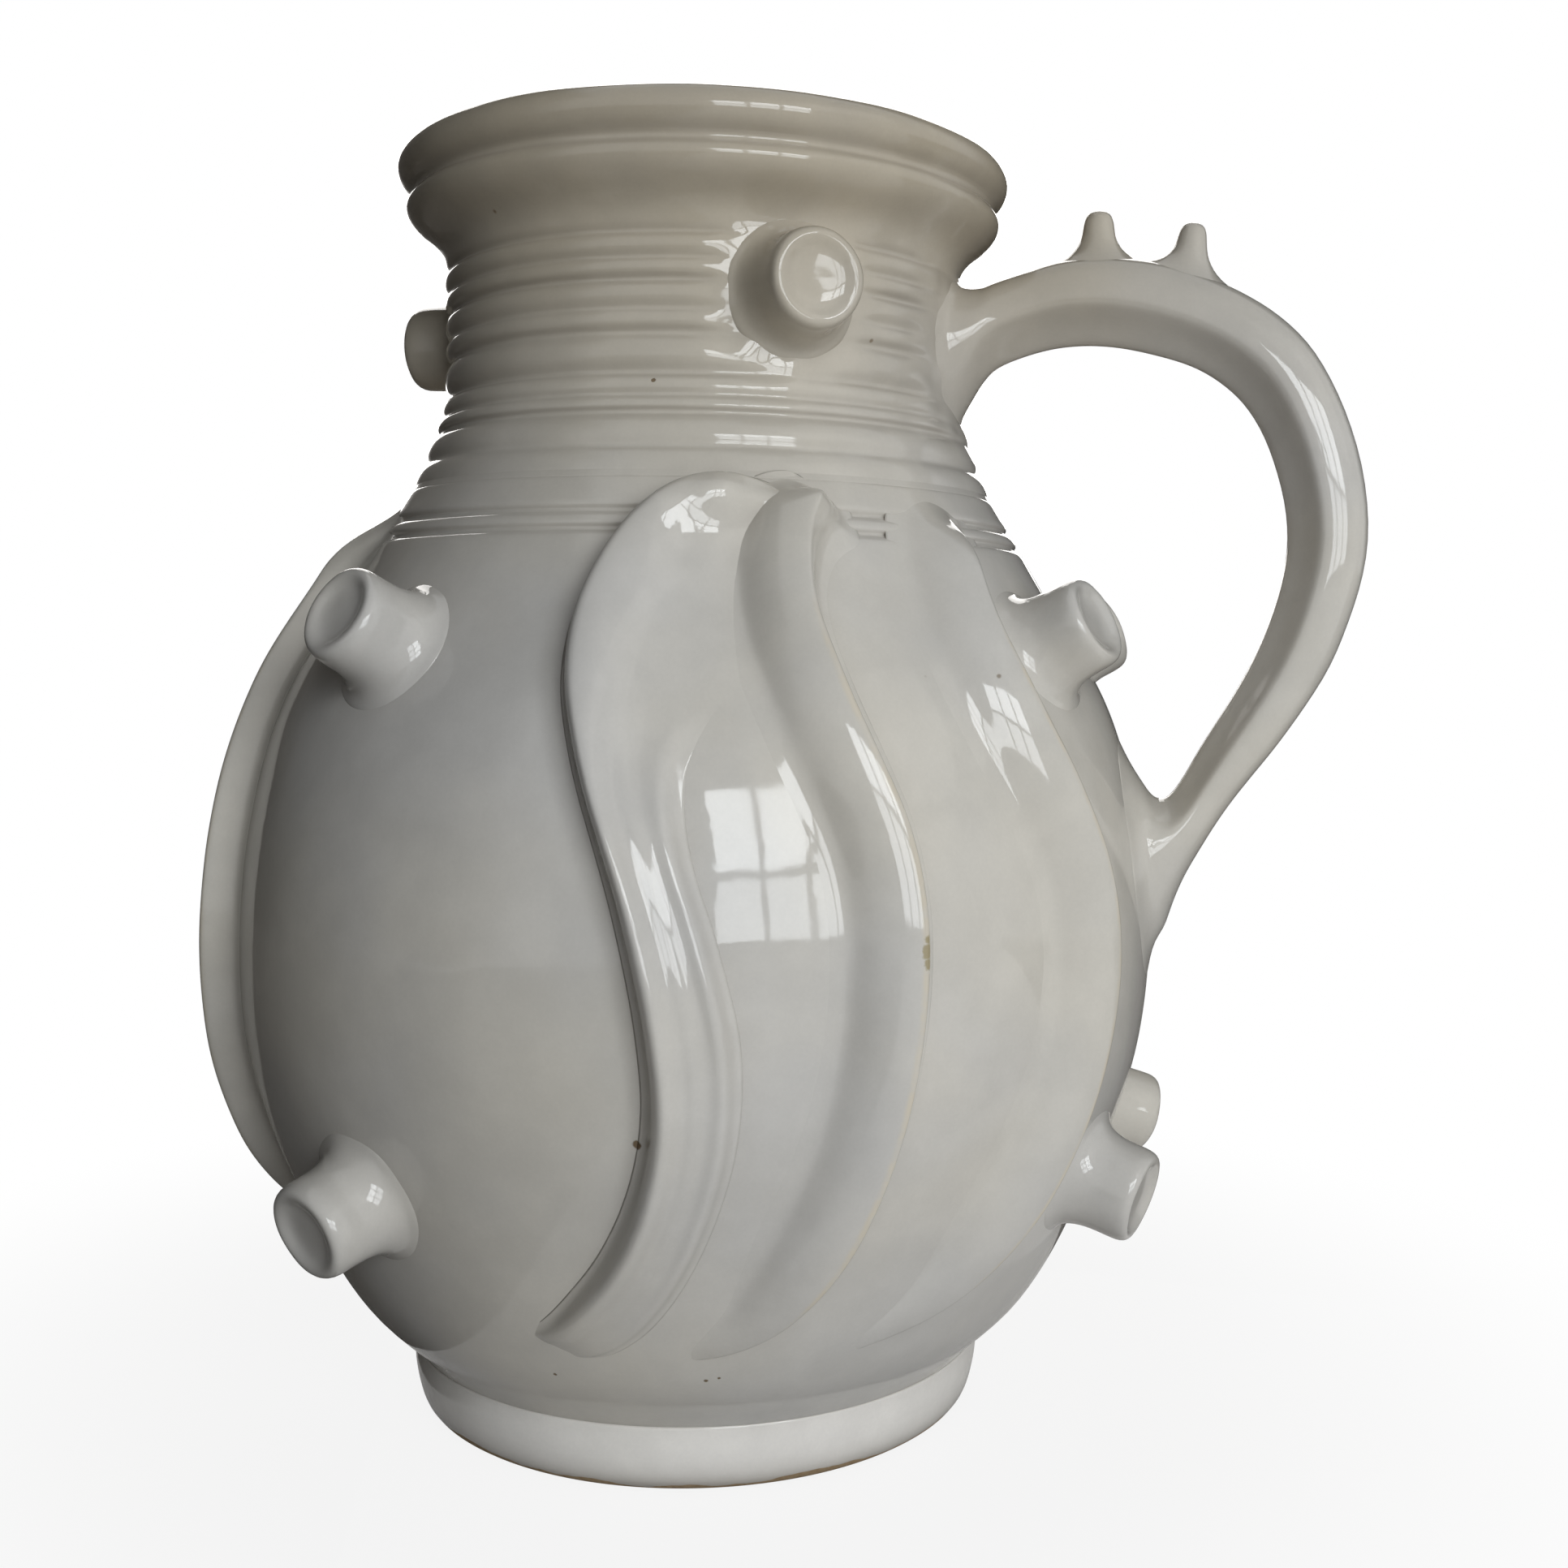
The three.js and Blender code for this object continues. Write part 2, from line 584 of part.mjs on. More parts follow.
// Sections square to a rib's crest line, as [across, lift], with the crest at 0 and across growing
// with the angle round the axis: the top from toe to toe, and the base that lies on the belly
const ribSections = {
  strap: {
    top: [
      [-STRAP_WIDTH * 0.36, 0],
      [-STRAP_WIDTH * 0.16, RIB_HEIGHT * 0.25],
      [-STRAP_WIDTH * 0.04, RIB_HEIGHT * 0.82],
      [STRAP_WIDTH * 0.06, RIB_HEIGHT * 0.92],
      [STRAP_WIDTH * 0.34, RIB_HEIGHT * 0.62],
      [STRAP_WIDTH * 0.66, RIB_HEIGHT * 0.42],
      [STRAP_WIDTH * 0.9, RIB_HEIGHT * 0.32],
      [STRAP_WIDTH, 0],
    ],
    base: [STRAP_WIDTH * 0.6, STRAP_WIDTH * 0.15],
  },
  ramp: {
    top: [
      [-RIB_RAMP_WIDTH, 0],
      [-RIB_RAMP_WIDTH * 0.62, RIB_HEIGHT * 0.17],
      [-RIB_RAMP_WIDTH * 0.28, RIB_HEIGHT * 0.5],
      [-RIB_RAMP_WIDTH * 0.07, RIB_HEIGHT * 0.93],
      [RIB_RAMP_WIDTH * 0.05, RIB_HEIGHT],
      [RIB_RAMP_WIDTH * 0.17, RIB_HEIGHT * 0.45],
      [RIB_RAMP_WIDTH * 0.28, 0],
    ],
    base: [-RIB_RAMP_WIDTH * 0.2, -RIB_RAMP_WIDTH * 0.6],
  },
};

function ribSection({ top, base }) {
  return [...top, ...base.map((across) => [across, 0])];
}

// A rib's section grown by a margin on top and let down through the joint below
function grownSection({ top, base }, margin) {
  const grown = top.map(([across, lift]) => {
    const side = Math.sign(across);
    return lift > 0 ? [across + side * margin, lift + margin] : [across + side * 3 * margin, margin / 2];
  });
  const sunk = [grown[grown.length - 1][0], ...base, grown[0][0]].map((x) => [x, -2 * RIB_SEAT_GAP]);
  return [...grown, ...sunk];
}

// One rib: its section runs along the crest line, from a blunt top end to a long smeared foot.
// The stations lie closer together towards the top.
function rib({ line }, section, turn) {
  const mmPerDegree = GIRTH_RADIUS * DEG;
  const span = RIB_TOP_HEIGHT - RIB_FOOT_HEIGHT;
  const flat = line.map(([angle, share]) => {
    return new THREE.Vector3(angle * mmPerDegree, RIB_FOOT_HEIGHT + span * share, 0);
  });
  const curve = new THREE.CatmullRomCurve3(flat);
  const rings = Array.from({ length: RIB_STATIONS }, (_, k) => {
    const u = (k / (RIB_STATIONS - 1)) ** RIB_CROWDING;
    const point = curve.getPointAt(u);
    const tangent = curve.getTangentAt(u);
    const radius = radiusAt(bellyOutline, point.y);
    const rise = Math.hypot(1, slopeAt(bellyOutline, point.y));
    const down = new THREE.Vector2((tangent.x * radius) / GIRTH_RADIUS, tangent.y * rise).normalize();
    const fade = THREE.MathUtils.smoothstep(u, -0.014, 0.05) * (1 - THREE.MathUtils.smoothstep(u, 0.8, 1.06));
    const grow = 0.4 + 0.6 * fade;
    return section.map(([across, lift]) => {
      const angle = point.x / mmPerDegree + (-down.y * across * grow) / (radius * DEG);
      const height = point.y + (down.x * across * grow) / rise;
      return onBelly(angle + turn, height, RIB_SEAT_GAP + lift * fade);
    });
  });
  const cap = sectionCap(section);
  return lofted(rings, cap, cap);
}

const glaze = { color: 0xc9c4bb, roughness: 0.16, metalness: 0 };

const jug = new THREE.Group();
jug.name = 'jug';

function addPiece(name, geometry, tone = glaze) {
  const mesh = new THREE.Mesh(geometry, new THREE.MeshStandardMaterial(tone));
  mesh.name = name;
  jug.add(mesh);
}

addPiece('foot_ring', footRing(), { ...glaze, color: 0xcfcac1 });
addPiece('belly', belly());
addPiece('neck', neck());

const carrier = surfaceMesh(vesselEnvelope(SLIP_GAP, 144));
addPiece('handle', handle());

const handleCarrier = surfaceMesh(handleStrap(SLIP_GAP));
NUBS.forEach((one, k) => addPiece(`handle_nub_${k + 1}`, nub(handleCarrier, one)));

NECK_STUDS.forEach(([angle, drop], k) => {
  addPiece(`neck_stud_${k + 1}`, stud(carrier, angle, NECK_TOP_HEIGHT - drop, NECK_STUD_LIFT));
});
UPPER_STUDS.forEach(([angle, height], k) => {
  addPiece(`upper_stud_${k + 1}`, stud(carrier, angle, height, UPPER_STUD_LIFT));
});
LOWER_STUDS.forEach(([angle, height], k) => {
  addPiece(`lower_stud_${k + 1}`, stud(carrier, angle, height, LOWER_STUD_LIFT));
});

// The strap of a set is luted over the top of its neighbour and is cut to it
Object.entries(RIB_SETS).forEach(([set, turn]) => {
  const ribs = ribLines.map((one) => rib(one, ribSection(ribSections[one.kind]), turn));
  const neighbour = rib(ribLines[1], grownSection(ribSections.ramp, SLIP_GAP), turn);
  ribs[0] = fromManifold(toManifold(ribs[0]).subtract(toManifold(neighbour)));
  ribs.forEach((geometry, k) => addPiece(`s_rib_${set}_${k + 1}`, geometry));
});

// The origin is the middle of the bounding box, on the table
const box = new THREE.Box3().setFromObject(jug);
const middle = box.getCenter(new THREE.Vector3());
jug.children.forEach((mesh) => mesh.geometry.translate(-middle.x, -middle.y, 0));

export default jug;
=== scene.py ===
# %% [markdown]
# # A white tin-glazed jug
#
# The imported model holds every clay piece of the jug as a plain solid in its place. This lesson
# gives each piece the skin that a potter's hands leave on it: soft rings from the wheel, luted
# roots that run out into the wall, and a thick, glossy white glaze over the whole pot.
# The solids stay as they are. Each new piece takes the place of one of them.

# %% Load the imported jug
import math
import random

import bmesh
import bpy
from mathutils import Matrix, Vector, noise
from mathutils.bvhtree import BVHTree


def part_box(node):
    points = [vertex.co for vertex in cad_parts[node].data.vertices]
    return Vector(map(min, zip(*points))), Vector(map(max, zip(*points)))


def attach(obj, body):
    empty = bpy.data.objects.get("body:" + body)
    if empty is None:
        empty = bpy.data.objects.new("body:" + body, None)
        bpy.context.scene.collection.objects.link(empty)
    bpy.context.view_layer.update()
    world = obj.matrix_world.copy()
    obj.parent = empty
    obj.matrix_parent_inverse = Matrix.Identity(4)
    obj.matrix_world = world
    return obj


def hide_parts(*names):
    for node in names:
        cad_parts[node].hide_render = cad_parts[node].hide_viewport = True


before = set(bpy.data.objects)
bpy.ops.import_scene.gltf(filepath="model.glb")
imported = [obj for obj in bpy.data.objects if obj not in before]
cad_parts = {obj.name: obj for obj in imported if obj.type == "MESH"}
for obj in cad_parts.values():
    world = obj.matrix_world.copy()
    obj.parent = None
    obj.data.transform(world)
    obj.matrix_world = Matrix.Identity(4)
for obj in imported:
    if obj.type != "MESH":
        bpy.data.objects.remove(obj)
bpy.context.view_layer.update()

bpy.ops.object.select_all(action="DESELECT")

# %% [markdown]
# ## Where things are
#
# A jug is measured from the middle of the wheel. The belly's box gives that middle, and all the
# numbers below are millimetres from it, or degrees round it, with heights above the table.

# %% The axis of the wheel
MM = 0.001
belly_low, belly_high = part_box("belly")
AXIS_X = (belly_low.x + belly_high.x) / 2
AXIS_Y = (belly_low.y + belly_high.y) / 2


def at(x, y, z):
    return Vector((AXIS_X + x * MM, AXIS_Y + y * MM, z * MM))


print("axis mm:", round(AXIS_X / MM, 2), round(AXIS_Y / MM, 2))

# %% [markdown]
# ## The camera
#
# The picture was taken close by, from a little above the girth. The camera stands where the
# ellipses of the lip, the rings and the foot look right, and it is tipped a little down.

# %% Stand the camera
CAMERA_DISTANCE = 447.6
CAMERA_HEIGHT = 183.5
CAMERA_ROUND = math.radians(16)
YAW, PITCH, ROLL = math.radians(4.782), math.radians(-4.218), math.radians(0.75)
LENS = 41.06
SENSOR = 36
SHIFT = -0.0435

ahead = Vector((math.sin(YAW) * math.cos(PITCH), math.cos(YAW) * math.cos(PITCH), math.sin(PITCH)))
right = Vector((math.cos(YAW), -math.sin(YAW), 0))
up = right.cross(ahead)
rolled_right = right * math.cos(ROLL) + up * math.sin(ROLL)
rolled_up = up * math.cos(ROLL) - right * math.sin(ROLL)
turn = Matrix.Rotation(CAMERA_ROUND, 3, "Z")
place = turn @ Vector((0, -CAMERA_DISTANCE, CAMERA_HEIGHT))
facing = turn @ Matrix((rolled_right, rolled_up, -ahead)).transposed()

bpy.ops.object.camera_add()
camera = bpy.context.object
camera.name = "camera"
camera.matrix_world = Matrix.Translation(at(*place)) @ facing.to_4x4()
camera.data.lens = LENS
camera.data.sensor_width = SENSOR
camera.data.shift_x = SHIFT
camera.data.clip_start = 0.01
bpy.context.scene.camera = camera
print("camera mm from axis:", [round(c, 1) for c in place])

# %% [markdown]
# ## The outline of the pot
#
# The wall's radius is known at a few heights. A cubic between them gives the smooth curve that a
# rib of wood leaves on the spinning clay. Luted pieces use the same curve, so they lie on it.

# %% Radius of the wall at any height
GIRTH, SEAM, NECK_TOP = 114, 220, 272
BELLY_LINE = [
    (15.4, 69.6), (30, 84.4), (56, 97.6), (86, 108), (GIRTH, 111.1),
    (142, 108.5), (172, 99.4), (198, 83.8), (SEAM, 70.8),
]
NECK_LINE = [(SEAM, 70.2), (234, 64.7), (243, 62.4), (NECK_TOP, 62.4)]
WALL = 7


def slope_at_point(line, k):
    z0, r0 = line[max(k - 1, 0)]
    z1, r1 = line[min(k + 1, len(line) - 1)]
    return (r1 - r0) / (z1 - z0)


def radius_on(line, height):
    k = 0
    while k < len(line) - 2 and height > line[k + 1][0]:
        k += 1
    (z0, r0), (z1, r1) = line[k], line[k + 1]
    span = z1 - z0
    t = min(max((height - z0) / span, 0), 1)
    m0, m1 = slope_at_point(line, k) * span, slope_at_point(line, k + 1) * span
    return (
        (2 * t**3 - 3 * t**2 + 1) * r0 + (t**3 - 2 * t**2 + t) * m0
        + (3 * t**2 - 2 * t**3) * r1 + (t**3 - t**2) * m1
    )


def lean_on(line, height):
    return radius_on(line, height + 0.5) - radius_on(line, height - 0.5)


print("girth mm:", round(2 * radius_on(BELLY_LINE, GIRTH), 1))

# %% [markdown]
# ## Helpers for the hands
#
# `spin_on_wheel` lays a line of points beside the axis and spins it, as a potter throws.
# `draw_out` starts with one flat face and pulls it out ring by ring, as a coil or strap is drawn.
# Both could be sculpted freely, but points that are measured can be checked and changed.

# %% Throw and draw out
WHEEL_STEPS = 128
MERGE_WITHIN = 0.001


def start_line(name, count, fill):
    bpy.ops.object.select_all(action="DESELECT")
    bpy.ops.mesh.primitive_circle_add(vertices=count, radius=MM, fill_type=fill)
    piece = bpy.context.object
    piece.name = piece.data.name = name
    return piece


def spin_on_wheel(name, profile):
    piece = start_line(name, len(profile), "NOTHING")
    for vertex, (radius, height) in zip(piece.data.vertices, profile):
        vertex.co = at(radius, 0, height)
    on_axis = profile[0][0] == 0 and profile[-1][0] == 0
    bpy.ops.object.mode_set(mode="EDIT")
    if on_axis:
        clay = bmesh.from_edit_mesh(piece.data)
        ends = {0, len(profile) - 1}
        for edge in clay.edges:
            edge.select_set({vert.index for vert in edge.verts} == ends)
        bpy.ops.mesh.delete(type="EDGE")
    bpy.ops.mesh.select_all(action="SELECT")
    bpy.ops.mesh.spin(
        steps=WHEEL_STEPS, angle=2 * math.pi, center=at(0, 0, 0), axis=(0, 0, 1), use_auto_merge=True
    )
    bpy.ops.mesh.select_all(action="SELECT")
    bpy.ops.mesh.remove_doubles(threshold=MERGE_WITHIN * MM)
    bpy.ops.mesh.normals_make_consistent(inside=False)
    bpy.ops.object.mode_set(mode="OBJECT")
    return piece


def draw_out(name, rings, marks=None):
    piece = start_line(name, len(rings[0]), "NGON")
    bpy.ops.object.mode_set(mode="EDIT")
    clay = bmesh.from_edit_mesh(piece.data)
    clay.verts.layers.float.new("thin")
    corner = clay.verts.layers.int.new("corner")
    for k, vert in enumerate(clay.verts):
        vert[corner] = k
    bmesh.update_edit_mesh(piece.data)
    bpy.ops.mesh.select_all(action="SELECT")
    for k, ring in enumerate(rings):
        if k:
            bpy.ops.mesh.extrude_region_move()
        clay = bmesh.from_edit_mesh(piece.data)
        corner = clay.verts.layers.int["corner"]
        thin = clay.verts.layers.float["thin"]
        for vert in clay.verts:
            if vert.select:
                vert.co = ring[vert[corner]]
                vert[thin] = marks[k][vert[corner]] if marks else 0
        bmesh.update_edit_mesh(piece.data)
    bpy.ops.mesh.select_all(action="SELECT")
    bpy.ops.mesh.normals_make_consistent(inside=False)
    bpy.ops.object.mode_set(mode="OBJECT")
    piece.data.attributes.remove(piece.data.attributes["corner"])
    return piece


print("the wheel turns in", WHEEL_STEPS, "steps")

# %% [markdown]
# `finish_clay` rounds a piece with one subdivision, presses in the small unevenness of hand work
# and puts it in the place of its solid. A noise in space does the pressing, so every piece is
# uneven in its own way.

# %% Round, press and put in place
def press_unevenness(piece, depth, size):
    normals = [vertex.normal.copy() for vertex in piece.data.vertices]
    for vertex, normal in zip(piece.data.vertices, normals):
        swell = noise.noise(vertex.co / (size * MM)) - 1
        vertex.co += normal * (swell * depth * MM / 2)


def finish_clay(piece, node, glaze, depth=0.35, size=20):
    bpy.ops.object.select_all(action="DESELECT")
    piece.select_set(True)
    bpy.context.view_layer.objects.active = piece
    rounding = piece.modifiers.new("rounding", "SUBSURF")
    rounding.levels = rounding.render_levels = 1
    bpy.ops.object.modifier_apply(modifier=rounding.name)
    press_unevenness(piece, depth, size)
    bpy.ops.object.shade_smooth()
    piece.data.materials.clear()
    piece.data.materials.append(glaze)
    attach(piece, "root")
    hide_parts(node)
    print(piece.name, len(piece.data.polygons), "faces")


# %% [markdown]
# ## The glaze
#
# Tin glaze is a thick white glass. It drifts a little in tone, thins to a beige line on sharp
# edges, and has pinholes and a few iron specks. It turns greyer where it pools in corners, and
# painted shade darkens those corners too. Its surface is smooth but never flat, so a window in it
# looks slightly bent. One group makes the colour and the height of that skin, and both glazes
# use it.

# %% Node helpers
def feed(tree, socket, value):
    if isinstance(value, bpy.types.NodeSocket):
        tree.links.new(value, socket)
    else:
        socket.default_value = value


def add_node(tree, kind, **sockets):
    made = tree.nodes.new(kind)
    for name, value in sockets.items():
        made.inputs[name.replace("_", " ")].default_value = value
    return made


def noise_node(tree, coords, scale, detail=2.0, rough=0.5):
    made = add_node(tree, "ShaderNodeTexNoise", Scale=scale, Detail=detail, Roughness=rough)
    tree.links.new(coords, made.inputs["Vector"])
    return made.outputs["Fac"]


def ramp_node(tree, value, low, high, out_low=0.0, out_high=1.0):
    made = tree.nodes.new("ShaderNodeMapRange")
    made.interpolation_type = "SMOOTHSTEP"
    limits = {"From Min": low, "From Max": high, "To Min": out_low, "To Max": out_high}
    for name, number in limits.items():
        made.inputs[name].default_value = number
    tree.links.new(value, made.inputs["Value"])
    return made.outputs["Result"]


def math_node(tree, operation, first, second, kind="ShaderNodeMath"):
    made = tree.nodes.new(kind)
    made.operation = operation
    for socket, value in zip(made.inputs, (first, second)):
        feed(tree, socket, value)
    return made.outputs["Value"]


def mix_node(tree, amount, first, second, blend="MIX"):
    made = tree.nodes.new("ShaderNodeMix")
    made.data_type = "RGBA"
    made.blend_type = blend
    for name, value in (("Factor", amount), ("A", first), ("B", second)):
        feed(tree, next(s for s in made.inputs if s.name == name and s.enabled), value)
    return next(s for s in made.outputs if s.enabled)


# %% [markdown]
# A speck shows where a small ball with a ragged edge cuts the surface. It could be painted on an
# image, but a group of nodes needs no file, and it serves for iron specks and for a chip.

# %% Group: one spot of iron or bare clay
def new_group(name, inputs, outputs):
    group = bpy.data.node_groups.new(name, "ShaderNodeTree")
    for in_out, sockets in (("INPUT", inputs), ("OUTPUT", outputs)):
        for socket_name, kind in sockets.items():
            group.interface.new_socket(socket_name, in_out=in_out, socket_type=f"NodeSocket{kind}")
    return group, group.nodes.new("NodeGroupInput"), group.nodes.new("NodeGroupOutput")


FINE_SCALE = 900
SPOT_EDGE = (1.15, 0.7)
spot, spot_in, spot_out = new_group(
    "spot", {"Coordinates": "Vector", "Centre": "Vector", "Radius": "Float"}, {"Mask": "Float"}
)
spot_at = spot_in.outputs["Coordinates"]
ragged = math_node(spot, "ADD", noise_node(spot, spot_at, FINE_SCALE), 0.5)
edge = math_node(spot, "MULTIPLY", spot_in.outputs["Radius"], ragged)
to_centre = math_node(spot, "DISTANCE", spot_at, spot_in.outputs["Centre"], "ShaderNodeVectorMath")
share_out = math_node(spot, "DIVIDE", to_centre, edge)
spot.links.new(ramp_node(spot, share_out, *SPOT_EDGE), spot_out.inputs["Mask"])
print("spot group nodes:", len(spot.nodes))

# %% [markdown]
# The tone of the coat has slow drifts, a fine mottle and a grain. Up the neck and on the lip the
# tone is darker and warmer. A noise stays near its middle, so each ramp stretches that part.

# %% Group: the skin of the glaze and its tone
# Scales of the noises, per metre
DRIFT_SCALE, MOTTLE_SCALE, GRAIN_SCALE, BROKEN_SCALE, PINHOLE_SCALE = 11, 70, 1400, 190, 62
UNEVEN_SCALE, WAVE_SCALE, RIPPLE_SCALE, PEEL_SCALE = 60, 30, 120, 700

skin, skin_in, skin_out = new_group(
    "glaze_skin",
    {coat: "Color" for coat in ("Tone", "Drift", "Pooled_and_shade", "Thin", "Iron", "Chip", "Upper")},
    {"Color": "Color", "Roughness": "Float", "Height": "Float"},
)
skin_at = skin.nodes.new("ShaderNodeTexCoord").outputs["Object"]

cloud = ramp_node(skin, noise_node(skin, skin_at, DRIFT_SCALE, 3), 0.35, 0.68)
tone = mix_node(skin, cloud, skin_in.outputs["Tone"], skin_in.outputs["Drift"])
mottle = ramp_node(skin, noise_node(skin, skin_at, MOTTLE_SCALE, 4, 0.6), 0.3, 0.75, 0.95, 1.03)
grain = ramp_node(skin, noise_node(skin, skin_at, GRAIN_SCALE, 2), 0.25, 0.8, 0.985, 1.012)
level = math_node(skin, "MULTIPLY", mottle, grain)
shade = skin.nodes.new("ShaderNodeCombineColor")
for channel in shade.inputs:
    skin.links.new(level, channel)
tone = mix_node(skin, 1.0, tone, shade.outputs["Color"], "MULTIPLY")

# Far out on the handle this darker, warmer tone is only half as strong
FAR_OUT, CLOSE_IN, WARM_FROM, WARM_TO = 125, 72, 195, 295
where = skin.nodes.new("ShaderNodeSeparateXYZ")
skin.links.new(skin_at, where.inputs["Vector"])
squares = [
    math_node(skin, "POWER", math_node(skin, "SUBTRACT", where.outputs[way], middle), 2)
    for way, middle in (("X", AXIS_X), ("Y", AXIS_Y))
]
from_axis = math_node(skin, "SQRT", math_node(skin, "ADD", *squares), 0)
near_axis = ramp_node(skin, from_axis, FAR_OUT * MM, CLOSE_IN * MM, 0.5, 1.0)
high_up = ramp_node(skin, where.outputs["Z"], WARM_FROM * MM, WARM_TO * MM)
darker_up_top = math_node(skin, "MULTIPLY", high_up, near_axis)
tone = mix_node(skin, darker_up_top, tone, mix_node(skin, 1.0, tone, skin_in.outputs["Upper"], "MULTIPLY"))

# %% [markdown]
# Molten glaze runs off a sharp crest and leaves a beige line. The ribs carry a `thin` mark for it.
# In corners the glaze pools and looks darker. Ambient occlusion finds those corners, and the
# darkening painted there is partly pooled glaze and partly painted shade. Pinholes are
# scattered, and the specks and the chip that stand out are placed one by one.

# %% Thin edges, pools with painted shade, and specks
thin = skin.nodes.new("ShaderNodeAttribute")
thin.attribute_name = "thin"
broken = ramp_node(skin, noise_node(skin, skin_at, BROKEN_SCALE, 3), 0.38, 0.62, 0.35, 1.0)
edge_line = math_node(skin, "MULTIPLY", ramp_node(skin, thin.outputs["Fac"], 0.35, 0.95), broken)
tone = mix_node(skin, edge_line, tone, skin_in.outputs["Thin"])

# Ambient occlusion darkens every corner: pooled glaze, and painted shade as well
POOL_AND_SHADE_REACH = 8
hollow_shade = skin.nodes.new("ShaderNodeAmbientOcclusion")
hollow_shade.samples = 4
hollow_shade.inputs["Distance"].default_value = POOL_AND_SHADE_REACH * MM
pooled_and_shade = ramp_node(skin, hollow_shade.outputs["AO"], 0.93, 0.4, 0.0, 0.85)
tone = mix_node(skin, pooled_and_shade, tone, skin_in.outputs["Pooled_and_shade"])

cells = add_node(skin, "ShaderNodeTexVoronoi", Scale=PINHOLE_SCALE, Randomness=1.0)
skin.links.new(skin_at, cells.inputs["Vector"])
chosen = skin.nodes.new("ShaderNodeSeparateColor")
skin.links.new(cells.outputs["Color"], chosen.inputs["Color"])
pinholes = math_node(
    skin, "MULTIPLY",
    ramp_node(skin, cells.outputs["Distance"], 0.045, 0.015),
    ramp_node(skin, chosen.outputs["Red"], 0.7, 0.72),
)

# Centre and radius
IRON_SPOTS = [
    ((18.0, -106.9, 88.5), 0.95), ((13.9, -101.7, 68.3), 0.6), ((25.1, -82.2, 32.2), 0.6),
    ((27.8, -81.7, 32.8), 0.5), ((6.4, -62.4, 240.3), 0.5), ((-6.8, -85.4, 31.9), 0.6),
]
CHIPS = [((72.5, -94.2, 124), 1.3), ((72.4, -94.3, 126.4), 1.7), ((72.4, -94.3, 128.8), 1.2)]


def spot_mask(centre, radius):
    one = skin.nodes.new("ShaderNodeGroup")
    one.node_tree = spot
    skin.links.new(skin_at, one.inputs["Coordinates"])
    one.inputs["Centre"].default_value = at(*centre)
    one.inputs["Radius"].default_value = radius * MM
    return one.outputs["Mask"]


iron = math_node(skin, "MULTIPLY", pinholes, 0.7)
for centre, radius in IRON_SPOTS:
    iron = math_node(skin, "MAXIMUM", iron, spot_mask(centre, radius))
tone = mix_node(skin, iron, tone, skin_in.outputs["Iron"])

# The chip on the crest of one rib shows the clay through a film of glaze
chip = 0.0
for centre, radius in CHIPS:
    chip = math_node(skin, "MAXIMUM", spot_mask(centre, radius), chip)
tone = mix_node(skin, chip, tone, skin_in.outputs["Chip"])
skin.links.new(tone, skin_out.inputs["Color"])
print("specks:", len(IRON_SPOTS), "chip spots:", len(CHIPS))

# %% [markdown]
# The glaze is nearly as smooth as glass. Long waves bend a reflection, ripples break its edge, and
# a fine peel takes the last of the sharpness off. A bump does this, since it changes no outline.

# %% Gloss and height of the glaze
SMOOTHEST, ROUGHEST, CHIP_ROUGH = 0.04, 0.08, 0.4
WAVE, RIPPLE, PEEL, PIT = 0.5, 0.045, 0.004, 0.05
uneven = noise_node(skin, skin_at, UNEVEN_SCALE, 3)
gloss = ramp_node(skin, uneven, 0.3, 0.7, SMOOTHEST, ROUGHEST)
dull_chip = math_node(skin, "MULTIPLY", chip, CHIP_ROUGH)
skin.links.new(math_node(skin, "ADD", gloss, dull_chip), skin_out.inputs["Roughness"])

wave = math_node(skin, "MULTIPLY", noise_node(skin, skin_at, WAVE_SCALE, 1), WAVE)
ripple = math_node(skin, "MULTIPLY", noise_node(skin, skin_at, RIPPLE_SCALE, 2), RIPPLE)
peel = math_node(skin, "MULTIPLY", noise_node(skin, skin_at, PEEL_SCALE, 2), PEEL)
relief = math_node(skin, "ADD", math_node(skin, "ADD", wave, ripple), peel)
relief = math_node(skin, "SUBTRACT", relief, math_node(skin, "MULTIPLY", iron, PIT))
skin.links.new(relief, skin_out.inputs["Height"])
print("glaze group nodes:", len(skin.nodes))

# %% [markdown]
# Two glazes share the group. The one on the foot is brighter, partly in its own tone and partly by
# painted light from the table below. Near the table it is wiped off, so that the pot doesn't stick
# to the kiln shelf: there the buff clay shows.

# %% Mix the glazes
TONE, DRIFT = (0.605, 0.573, 0.512, 1), (0.552, 0.536, 0.512, 1)
# The foot's brighter tones hold painted light from the table as well as the glaze's own colour
FOOT_TONE_AND_LIGHT, FOOT_DRIFT_AND_LIGHT = (0.90, 0.87, 0.82, 1), (0.84, 0.81, 0.77, 1)
# The pooled colour also stands for painted shade in corners
COATS = {
    "Pooled_and_shade": (0.35, 0.32, 0.28, 1), "Thin": (0.60, 0.545, 0.45, 1), "Iron": (0.16, 0.11, 0.06, 1),
    "Chip": (0.34, 0.29, 0.18, 1), "Upper": (0.76, 0.7, 0.6, 1),
}
GLASS_IOR = 1.42


